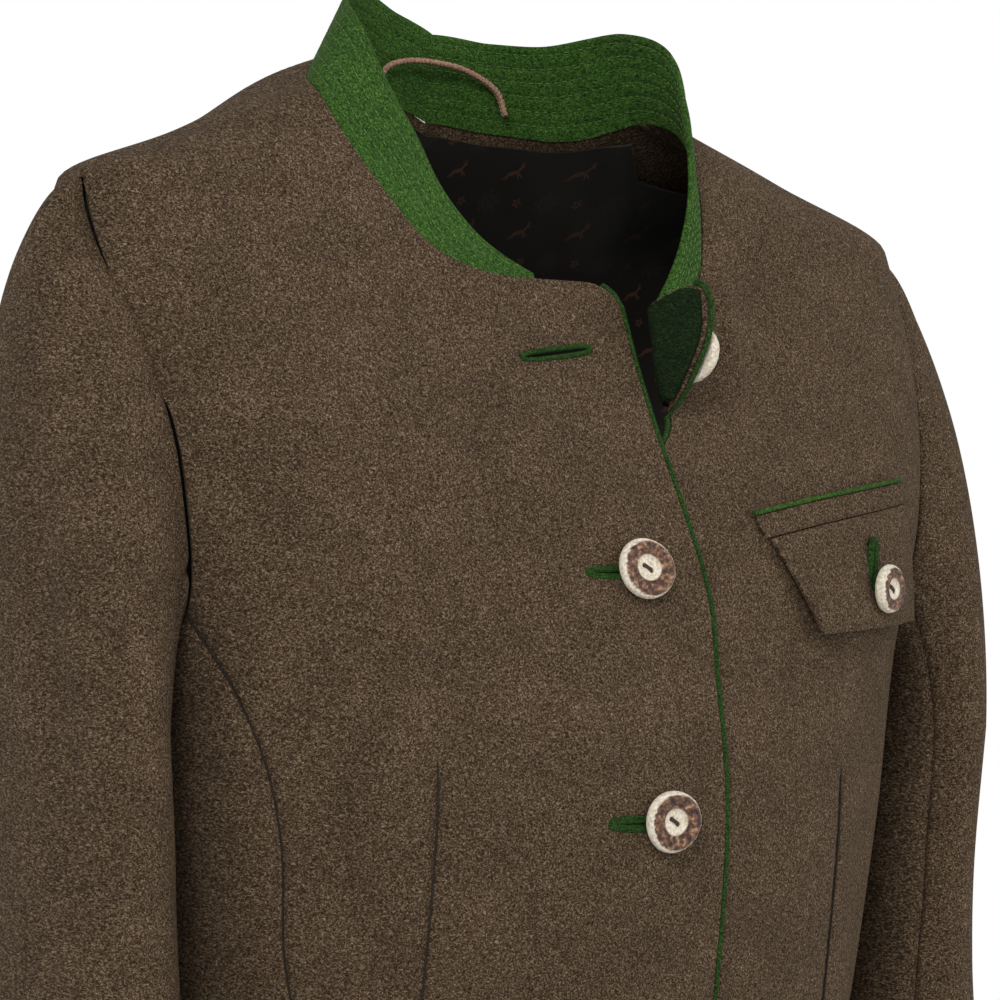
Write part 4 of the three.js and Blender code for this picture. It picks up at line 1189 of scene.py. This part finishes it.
for label, side, folds in (("right", -1, RIGHT_SLEEVE_FOLDS), ("left", 1, LEFT_SLEEVE_FOLDS)):
    sleeve_piece(f"{label}_sleeve_top", side, np.linspace(SLEEVE_BACK - ARM_TIP, SLEEVE_FRONT, 110), folds)
    sleeve_piece(f"{label}_sleeve_under", side, np.linspace(SLEEVE_FRONT, SLEEVE_BACK, 64), folds)

# ---------------------------------------------------------------- Seam shadows
# Where two pieces of loden meet, the edges turn in; a thin dark tube in the groove is painted
# shadow of the seam: at the armholes, the side panels, the centre back and the darts of the fronts.
SEAM_SHADOW_R = 0.42
DART_X, DART_TOP, DART_END = 90, -250, -470


# Colour of the seam tubes: dark brown as painted shadow in the seam grooves.
def seam_shadow_material():
    material, nodes, links = new_material("seam_painted_shadow")
    place = node(nodes, links, "ShaderNodeTexCoord").outputs["Object"]
    wool = node(nodes, links, "ShaderNodeTexNoise", {"Vector": place, "Scale": 1300, "Detail": 2})
    colour = ramp(nodes, links, wool.outputs["Fac"], [(0.35, tone(20, 14, 9)), (0.65, tone(48, 37, 27))])
    shader = nodes["Principled BSDF"]
    links.new(colour, shader.inputs["Base Color"])
    shader.inputs["Roughness"].default_value = 0.95
    return material


seam_shade = seam_shadow_material()


# Lays a dark tube along a seam as its painted shadow.
def seam_shadow_line(name, put, base, lift):
    obj = new_piece(name, *tube(put(base, lift), SEAM_SHADOW_R, 6), [seam_shade])
    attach(obj, "root")


dart_z = np.linspace(DART_TOP, DART_END, 90)
dart_base = front_point(DART_X + 0 * dart_z, dart_z)
arm_base = arm_point(np.linspace(0.01, ARM_TIP - 0.01, 200))
for label, side in (("right", -1), ("left", 1)):
    put = on_side(side)
    folds = RIGHT_FRONT_FOLDS if side < 0 else LEFT_FRONT_FOLDS
    seam_shadow_line(f"{label}_armhole_seam_shadow", put, arm_base, -0.9)
    seam_shadow_line(f"{label}_front_panel_seam_shadow", put, side_grid[0], folded(side_grid[0], folds) - 1.2)
    seam_shadow_line(f"{label}_back_panel_seam_shadow", put, side_grid[-1], folded(side_grid[-1], SIDE_FOLDS) - 1.2)
    seam_shadow_line(f"{label}_dart_seam_shadow", put, dart_base, folded(dart_base, folds) - 0.75)
seam_shadow_line("centre_back_seam_shadow", on_side(1), back_grid[-1][:-2], folded(back_grid[-1][:-2], BACK_FOLDS) - 1.2)

# ---------------------------------------------------------------- Stand collar
# Green loden on a firm stand, cut to a point short of the front edges and held flat by six
# rows of topstitching that go through to the inside.
COLLAR_CLOTH, COLLAR_HEIGHT = 2.4, 35
COLLAR_RISE = [(0, 0.12), (12, 0.36), (26, 0.62), (45, 0.86), (70, 1), (400, 1)]
COLLAR_LEAN = [(0, 40, 6), (4, 40, 6), (7, 34, 10), (9, 27, 20), (13, 8, 8)]
NECK_MIDDLE = np.array([0.0, -5.0, 0.0])
STITCH_DROPS = [3.5, 8.8, 14.1, 19.4, 24.7, 30]
STITCH_LENGTH, STITCH_PITCH, STITCH_THICK = 2.4, 3.5, 0.45
QUILT_DEEP = 0.32

collar_rise = curve(COLLAR_RISE, 0, 1)
lean_by_side = {-1: curve(COLLAR_LEAN, 0, 1), 1: curve(COLLAR_LEAN, 0, 2)}
collar_start = float(neck_at_x(COLLAR_STOP))
fine_places = np.linspace(collar_start, NECK_BACK, 600)
fine_neck = neck_point(fine_places)
fine_run = np.concatenate([[0], np.cumsum(np.linalg.norm(np.diff(fine_neck, axis=0), axis=1))])


def collar_high(place):
    return COLLAR_HEIGHT * collar_rise(np.interp(place, fine_places, fine_run))


def collar_point(place, up, depth, side):
    place, up = np.broadcast_arrays(place, up)
    base = neck_point(place)
    inward = unit((NECK_MIDDLE - base) * np.array([1, 1, 0]))
    lean = np.radians(lean_by_side[side](place))[..., None]
    face = normal_at(base)
    along = neck_point(np.minimum(place + 0.05, NECK_BACK)) - neck_point(place - 0.05)
    onward = unit(np.cross(face, along))
    onward = np.where((onward * inward).sum(axis=-1)[..., None] < 0, -onward, onward)
    rise = inward * np.sin(lean) + UP * np.cos(lean)
    back = -inward * np.cos(lean) + UP * np.sin(lean)
    turned_share = np.minimum(1, up * 2)[..., None]
    thick_way = unit(face * (1 - turned_share) + back * turned_share)
    p = base + onward * SEAM + rise * (collar_high(place) * up)[..., None]
    p = p - thick_way * np.asarray(depth, float)[..., None]
    if side > 0:
        p = p + opened(base) - base
    return hang(p * np.array([side, 1, 1]))


def collar_layer(depth):
    places = np.linspace(collar_start, NECK_BACK, 130)[:, None]
    up = np.linspace(0, 1, 66)[None]
    below = collar_high(places) * (1 - up)
    ease_off = 0.75 * ease(0.95, 1, up) + sum(QUILT_DEEP * np.exp(-((below - d) ** 2)) for d in STITCH_DROPS)
    layer = depth + (ease_off if depth == 0 else -ease_off)
    right = collar_point(places, up, layer, -1)
    left = collar_point(places, up, layer, 1)[::-1]
    return np.concatenate([right, left[1:]])


collar_outer = collar_layer(0)
collar = wall("stand_collar_cloth", collar_outer, collar_layer(COLLAR_CLOTH), [green_loden])


def stitch_tree(material):
    """Geometry Nodes that lay short stitches end to end along every line of a mesh."""
    tree = bpy.data.node_groups.new("topstitching", "GeometryNodeTree")
    face = tree.interface
    face.new_socket("Stitch lines", in_out="INPUT", socket_type="NodeSocketGeometry")
    for label in ("Stitch pitch", "Stitch length", "Thread thickness"):
        face.new_socket(label, in_out="INPUT", socket_type="NodeSocketFloat")
    face.new_socket("Stitches", in_out="OUTPUT", socket_type="NodeSocketGeometry")
    nodes, links = tree.nodes, tree.links
    given = nodes.new("NodeGroupInput")
    result = nodes.new("NodeGroupOutput")
    lines = node(nodes, links, "GeometryNodeMeshToCurve", {0: given.outputs["Stitch lines"]})
    spaced = node(nodes, links, "GeometryNodeResampleCurve", {"Curve": lines.outputs[0]})
    spaced.mode = "LENGTH"
    links.new(given.outputs["Stitch pitch"], spaced.inputs["Length"])
    tangent = nodes.new("GeometryNodeInputTangent")
    aim = node(nodes, links, "FunctionNodeAlignRotationToVector", {"Vector": tangent.outputs[0]}, axis="Z")
    bead = node(nodes, links, "GeometryNodeMeshUVSphere", {"Segments": 6, "Rings": 5, "Radius": 0.5})
    size = node(
        nodes, links, "ShaderNodeCombineXYZ",
        {
            "X": given.outputs["Thread thickness"],
            "Y": given.outputs["Thread thickness"],
            "Z": given.outputs["Stitch length"],
        },
    )
    laid = node(
        nodes, links, "GeometryNodeInstanceOnPoints",
        {
            "Points": spaced.outputs[0],
            "Instance": bead.outputs["Mesh"],
            "Rotation": aim.outputs[0],
            "Scale": size.outputs[0],
        },
    )
    real = node(nodes, links, "GeometryNodeRealizeInstances", {0: laid.outputs[0]})
    smooth = node(nodes, links, "GeometryNodeSetShadeSmooth", {0: real.outputs[0]})
    painted = node(nodes, links, "GeometryNodeSetMaterial", {0: smooth.outputs[0]})
    painted.inputs["Material"].default_value = material
    links.new(painted.outputs[0], result.inputs[0])
    return tree


def stitched(name, lines, tree, sizes):
    """Bakes a stitch tree over polylines given in millimetres."""
    points, edges, start = [], [], 0
    for line in lines:
        points.append(line / 1000)
        edges += [(start + i, start + i + 1) for i in range(len(line) - 1)]
        start += len(line)
    mesh = bpy.data.meshes.new(name)
    mesh.from_pydata(np.concatenate(points).tolist(), edges, [])
    obj = bpy.data.objects.new(name, mesh)
    bpy.context.scene.collection.objects.link(obj)
    maker = obj.modifiers.new("stitches", "NODES")
    maker.node_group = tree
    for item in tree.interface.items_tree:
        if item.in_out == "INPUT" and item.name in sizes:
            maker[item.identifier] = sizes[item.name] / 1000
    bpy.context.view_layer.update()
    evaluated = obj.evaluated_get(bpy.context.evaluated_depsgraph_get())
    baked = bpy.data.meshes.new_from_object(evaluated)
    obj.modifiers.clear()
    obj.data = baked
    return obj


def stitch_thread_material():
    material, nodes, links = new_material("collar_stitch_thread")
    place = node(nodes, links, "ShaderNodeTexCoord").outputs["Object"]
    ply = node(nodes, links, "ShaderNodeTexNoise", {"Vector": place, "Scale": 1500, "Detail": 2})
    colour = ramp(nodes, links, ply.outputs["Fac"], [(0.35, tone(60, 94, 38)), (0.65, tone(104, 138, 70))])
    shader = nodes["Principled BSDF"]
    links.new(colour, shader.inputs["Base Color"])
    shader.inputs["Roughness"].default_value = 0.6
    return material


stitch_lines = []
for side in (-1, 1):
    for drop_down in STITCH_DROPS:
        places = np.linspace(collar_start + 0.05, NECK_BACK - 0.01, 260)
        high = collar_high(places) - drop_down
        valid = high > 1.5
        share = (high / collar_high(places))[valid]
        for depth in (QUILT_DEEP - 0.15, COLLAR_CLOTH - QUILT_DEEP + 0.15):
            stitch_lines.append(collar_point(places[valid], share, depth + 0 * share, side))
collar_stitches = stitched(
    "stand_collar_stitches",
    stitch_lines,
    stitch_tree(stitch_thread_material()),
    {"Stitch pitch": STITCH_PITCH, "Stitch length": STITCH_LENGTH, "Thread thickness": STITCH_THICK},
)
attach(collar_stitches, "root")
sewn(
    collar, collar_outer, ["stand_collar"],
    with_pieces=[collar_stitches],
)

# ---------------------------------------------------------------- Back lining
# Dark satin across the back, seen through the neck: tonal rosettes, with small russet
# flowers and leaping deer set between them in a staggered repeat.
LINING_CLOTH, LINING_LOOSE, SHOULDER_LOOSE = 1.0, 2.6, 4.5
LINING_PITCH = 23
DEER_SCALE = 0.52


def lining_material():
    material, nodes, links = new_material("lining_satin_print")
    place = node(nodes, links, "ShaderNodeTexCoord").outputs["Object"]
    parts = node(nodes, links, "ShaderNodeSeparateXYZ", {0: place})

    def math_node(kind, a, b=0.0, c=0.0):
        return node(nodes, links, "ShaderNodeMath", {0: a, 1: b, 2: c}, operation=kind).outputs[0]

    across = math_node("MULTIPLY", parts.outputs["X"], 1000 / LINING_PITCH)
    height = math_node("MULTIPLY", parts.outputs["Z"], 1000 / LINING_PITCH)

    def cell(shift_x, shift_z):
        """Place within one repeat, in millimetres from its middle."""
        v = math_node("ADD", height, shift_z)
        row = math_node("FLOOR", v)
        stagger = math_node("MULTIPLY", math_node("MODULO", math_node("ADD", row, 100), 2), 0.5)
        u = math_node("ADD", math_node("ADD", across, shift_x), stagger)
        x = math_node("MULTIPLY", math_node("SUBTRACT", math_node("FRACT", u), 0.5), LINING_PITCH)
        z = math_node("MULTIPLY", math_node("SUBTRACT", math_node("FRACT", v), 0.5), LINING_PITCH)
        return x, z

    def inside(value, limit, soft):
        made = node(
            nodes, links, "ShaderNodeMapRange",
            {"Value": value, "From Min": limit + soft, "From Max": limit - soft},
        )
        return made.outputs["Result"]

    def flower(spot, radius, petals, depth):
        x, z = spot
        angle = math_node("ARCTAN2", z, x)
        far = math_node("SQRT", math_node("MULTIPLY_ADD", x, x, math_node("MULTIPLY", z, z)))
        wave = math_node("COSINE", math_node("MULTIPLY", angle, petals))
        edge = math_node("MULTIPLY_ADD", wave, depth * radius, radius * (1 - depth))
        return inside(math_node("SUBTRACT", far, edge), 0, 0.25), far

    def blob(spot, middle, size, turn):
        """Soft oval: part of the leaping deer."""
        x = math_node("SUBTRACT", spot[0], middle[0])
        z = math_node("SUBTRACT", spot[1], middle[1])
        c, s = math.cos(turn), math.sin(turn)
        u = math_node("DIVIDE", math_node("MULTIPLY_ADD", x, c, math_node("MULTIPLY", z, s)), size[0])
        v = math_node("DIVIDE", math_node("MULTIPLY_ADD", z, c, math_node("MULTIPLY", x, -s)), size[1])
        return inside(math_node("MULTIPLY_ADD", u, u, math_node("MULTIPLY", v, v)), 1, 0.2)

    rosette, rosette_far = flower(cell(0, 0), 5.0, 8, 0.16)
    ring = math_node("SINE", math_node("MULTIPLY", rosette_far, 3.4))
    tonal = math_node("MULTIPLY", rosette, math_node("MULTIPLY_ADD", ring, 0.4, 0.6))
    bloom, bloom_far = flower(cell(0.5, 0.0), 1.9, 5, 0.3)
    heart = inside(bloom_far, 0.5, 0.15)
    bloom = math_node("SUBTRACT", bloom, heart)
    deer_spot = cell(0.25, 0.5)
    deer = None
    for middle, size, turn in (
        ((0, 0), (4.2, 1.7), 0.3),
        ((3.9, 3.0), (0.9, 2.4), -0.5),
        ((5.4, 5.2), (1.6, 0.8), -0.3),
        ((5.4, -1.2), (0.5, 3.0), 0.8),
        ((4.2, -1.8), (0.5, 2.8), 0.4),
        ((-4.6, -2.8), (0.6, 3.4), -0.8),
        ((-3.2, -3.2), (0.5, 3.0), -0.5),
        ((4.4, 7.2), (0.4, 1.9), 0.2),
        ((5.6, 7.2), (0.4, 1.7), -0.4),
    ):
        middle, size = [[DEER_SCALE * v for v in pair] for pair in (middle, size)]
        oval = blob(deer_spot, middle, size, turn)
        deer = oval if deer is None else math_node("MAXIMUM", deer, oval)
    print_share = math_node("MAXIMUM", deer, bloom)
    base = node(nodes, links, "ShaderNodeMix", {"Factor": tonal}, data_type="RGBA")
    base.inputs[6].default_value = tone(24, 21, 16)
    base.inputs[7].default_value = tone(40, 34, 27)
    coloured = node(nodes, links, "ShaderNodeMix", {"Factor": print_share}, data_type="RGBA")
    links.new(base.outputs[2], coloured.inputs[6])
    coloured.inputs[7].default_value = tone(74, 46, 32)
    weave = node(nodes, links, "ShaderNodeTexNoise", {"Vector": place, "Scale": 1600, "Detail": 2})
    bump = node(nodes, links, "ShaderNodeBump", {"Height": weave.outputs["Fac"], "Strength": 0.2, "Distance": 0.0002})
    shader = nodes["Principled BSDF"]
    links.new(coloured.outputs[2], shader.inputs["Base Color"])
    links.new(bump.outputs["Normal"], shader.inputs["Normal"])
    shader.inputs["Roughness"].default_value = 0.45
    shader.inputs["Sheen Weight"].default_value = 0.1
    return material


reach = np.where(np.arange(len(back_grid)) >= len(back_grid) - BACK_COLUMNS, 0.9875, 0.9)
lining_ring, lining_tops = back_grid[:, len(LEVELS) - 1], back_tops
lining_rows = np.linspace(0, 1, 60)
a, b = unit(lining_ring - CORE)[:, None], unit(lining_tops - CORE)[:, None]
lining_base = to_body(CORE + a + (b - a) * (lining_rows[None] * reach[:, None])[..., None])
column_number = np.arange(len(back_grid))
slack = SHOULDER_LOOSE * (1 - ease(0, 8, column_number - (len(back_grid) - BACK_COLUMNS)))[:, None]


def lining_layer(depth):
    left = on_side(1)(lining_base, -LODEN - LINING_LOOSE - slack - depth + 0 * lining_rows[None])
    right = on_side(-1)(lining_base, -LODEN - LINING_LOOSE - slack - depth + 0 * lining_rows[None])
    return np.concatenate([left[:-1], right[::-1]])


lining_outer = lining_layer(0)
lining = wall("back_lining_satin", lining_outer, lining_layer(LINING_CLOTH), [lining_material()])
sewn(lining, lining_outer, ["back_lining"])

# ---------------------------------------------------------------- Chest pocket
# A slanting welt pocket on the left front: green piping above a loden welt, and a flap with
# a green underside that buttons with a bound hole and a smaller horn button.
LINE_IN, LINE_OUT = (59, -159), (140, -142)
LOW_IN, LOW_OUT = (75, -206), (147, -198)
FLAP_IN_X, FLAP_OUT_X = 63, 142
WELT_CLOTH, WELT_HIGH, PIPE_HIGH, FLAP_STANDS = 1.4, 8.5, 1.6, 4.5
FLAP_HOLE, FLAP_BUTTON = (111, -178), (113, -187)
FLAP_HOLE_LENGTH, FLAP_BUTTON_D = 18, 19
POCKET_SLANT = math.atan2(17, 81)


def lower(p, by):
    return (p[0] + by * 0.2, p[1] - by)


def pocket_grid(corners, across, down, lift, thick):
    a, b, c, d = (np.array(p, float) for p in corners)
    u, v = np.linspace(0, 1, across)[:, None, None], np.linspace(0, 1, down)[None, :, None]
    flat = (a * (1 - u) + b * u) * (1 - v) + (d * (1 - u) + c * u) * v
    base = front_point(flat[..., 0], flat[..., 1])
    below = folded(base, LEFT_FRONT_FOLDS)
    round_off = 0.5 * np.maximum(np.exp(-np.minimum(v, 1 - v) * down / 1.2), np.exp(-np.minimum(u, 1 - u) * across / 1.2))
    stand = lift(u[..., 0], v[..., 0]) + below
    put = on_side(1)
    return put(base, stand + thick - round_off[..., 0]), put(base, stand)


def pocket_piece(name, corners, across, down, lift, thick, materials, finish, inner_slot=0):
    outer, inner = pocket_grid(corners, across, down, lift, thick)
    obj = wall(f"{name}_cloth", outer, inner, materials, inner_slot)
    return obj, outer


def flat_lift(u, v):
    return SEAM + 0.5 + 0 * u + 0 * v


def flap_lift(u, v):
    return SEAM + 0.5 + FLAP_STANDS * v + 0.7 * np.sin(5 * u) * v


welt_corners = [
    lower(LINE_IN, PIPE_HIGH + SEAM), lower(LINE_OUT, PIPE_HIGH + SEAM),
    lower(LINE_OUT, WELT_HIGH + PIPE_HIGH), lower(LINE_IN, WELT_HIGH + PIPE_HIGH),
]
piping_corners = [LINE_IN, LINE_OUT, lower(LINE_OUT, PIPE_HIGH), lower(LINE_IN, PIPE_HIGH)]
flap_top = WELT_HIGH + PIPE_HIGH + SEAM
flap_corners = [
    (FLAP_IN_X, lower(LINE_IN, flap_top)[1]), (FLAP_OUT_X, lower(LINE_OUT, flap_top)[1]), LOW_OUT, LOW_IN,
]
welt, welt_outer = pocket_piece("pocket_welt", welt_corners, 60, 12, flat_lift, WELT_CLOTH, [brown_loden], "brown_loden")
trim, trim_outer = pocket_piece("pocket_piping", piping_corners, 60, 8, flat_lift, WELT_CLOTH + 0.6, [green_loden], "green_piping")
flap, flap_outer = pocket_piece(
    "pocket_flap", flap_corners, 60, 40, flap_lift, LODEN, [brown_loden, green_loden], "brown_loden", 1
)
flap_raise = SEAM + 0.3 + FLAP_STANDS / 2 + LODEN


def on_flap(base, lift):
    return on_side(1)(base, lift + flap_raise)


flap_hole_spot = set_frame(on_flap, front_point(*FLAP_HOLE), 0.9 - LODEN / 2)
hole_turn = math.pi / 2 - POCKET_SLANT
points, faces = cutter_box(FLAP_HOLE_LENGTH)
cut_windows(flap, [(placed(turned_flat(points, hole_turn), flap_hole_spot), faces)])
points, faces = hole_lips(FLAP_HOLE_LENGTH, 0.8)
flap_lips = new_piece("flap_buttonhole_lips", placed(turned_flat(points, hole_turn), flap_hole_spot), faces, [piping_green])
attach(flap_lips, "root")
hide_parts("flap_buttonhole")
flap_button = sew_button("flap_button", FLAP_BUTTON_D, set_frame(on_flap, front_point(*FLAP_BUTTON), 2.8), 31)
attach(trim, "root")
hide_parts("pocket_piping")
sewn(welt, welt_outer, ["pocket_welt"], with_pieces=[trim])
sewn(
    flap, flap_outer, ["pocket_flap"],
    with_pieces=[flap_lips, *flap_button],
)

# ---------------------------------------------------------------- Floor, light and air
# A round pale floor just under the cuffs, a bright even surround and soft large lamps.
FLOOR_Z, FLOOR_R = -0.665, 1.15
floor_mesh = bpy.data.meshes.new("floor")
ring = [
    (FLOOR_R * math.cos(i / 96 * 2 * math.pi), FLOOR_R * math.sin(i / 96 * 2 * math.pi), FLOOR_Z)
    for i in range(96)
]
floor_mesh.from_pydata(ring, [], [tuple(range(96))])
floor = bpy.data.objects.new("floor", floor_mesh)
bpy.context.scene.collection.objects.link(floor)
floor_paint, floor_nodes, floor_links = new_material("pale_floor")
floor_nodes["Principled BSDF"].inputs["Base Color"].default_value = (0.82, 0.82, 0.81, 1)
floor_nodes["Principled BSDF"].inputs["Roughness"].default_value = 0.9
floor_mesh.materials.append(floor_paint)

world = bpy.data.worlds.new("studio")
world.use_nodes = True
SURROUND_SEEN, SURROUND_LIGHT = 1.0, 0.5
sky_nodes, sky_links = world.node_tree.nodes, world.node_tree.links
seen = node(sky_nodes, sky_links, "ShaderNodeLightPath").outputs["Is Camera Ray"]
strength = node(
    sky_nodes, sky_links, "ShaderNodeMapRange",
    {"Value": seen, "To Min": SURROUND_LIGHT, "To Max": SURROUND_SEEN},
)
sky_nodes["Background"].inputs["Color"].default_value = (1, 1, 1, 1)
sky_links.new(strength.outputs["Result"], sky_nodes["Background"].inputs["Strength"])
bpy.context.scene.world = world
bpy.context.scene.view_settings.view_transform = "Standard"


def soft_lamp(name, place, size, power):
    light = bpy.data.lights.new(name, "AREA")
    light.shape = "DISK"
    light.size = size
    light.energy = power
    obj = bpy.data.objects.new(name, light)
    obj.location = place
    way = Vector((0, 0, -0.2)) - Vector(place)
    obj.rotation_euler = way.to_track_quat("-Z", "Y").to_euler()
    bpy.context.scene.collection.objects.link(obj)


soft_lamp("key", (-1.3, -1.5, 1.0), 0.9, 22)
soft_lamp("fill", (1.5, -1.2, 0.3), 1.2, 9)
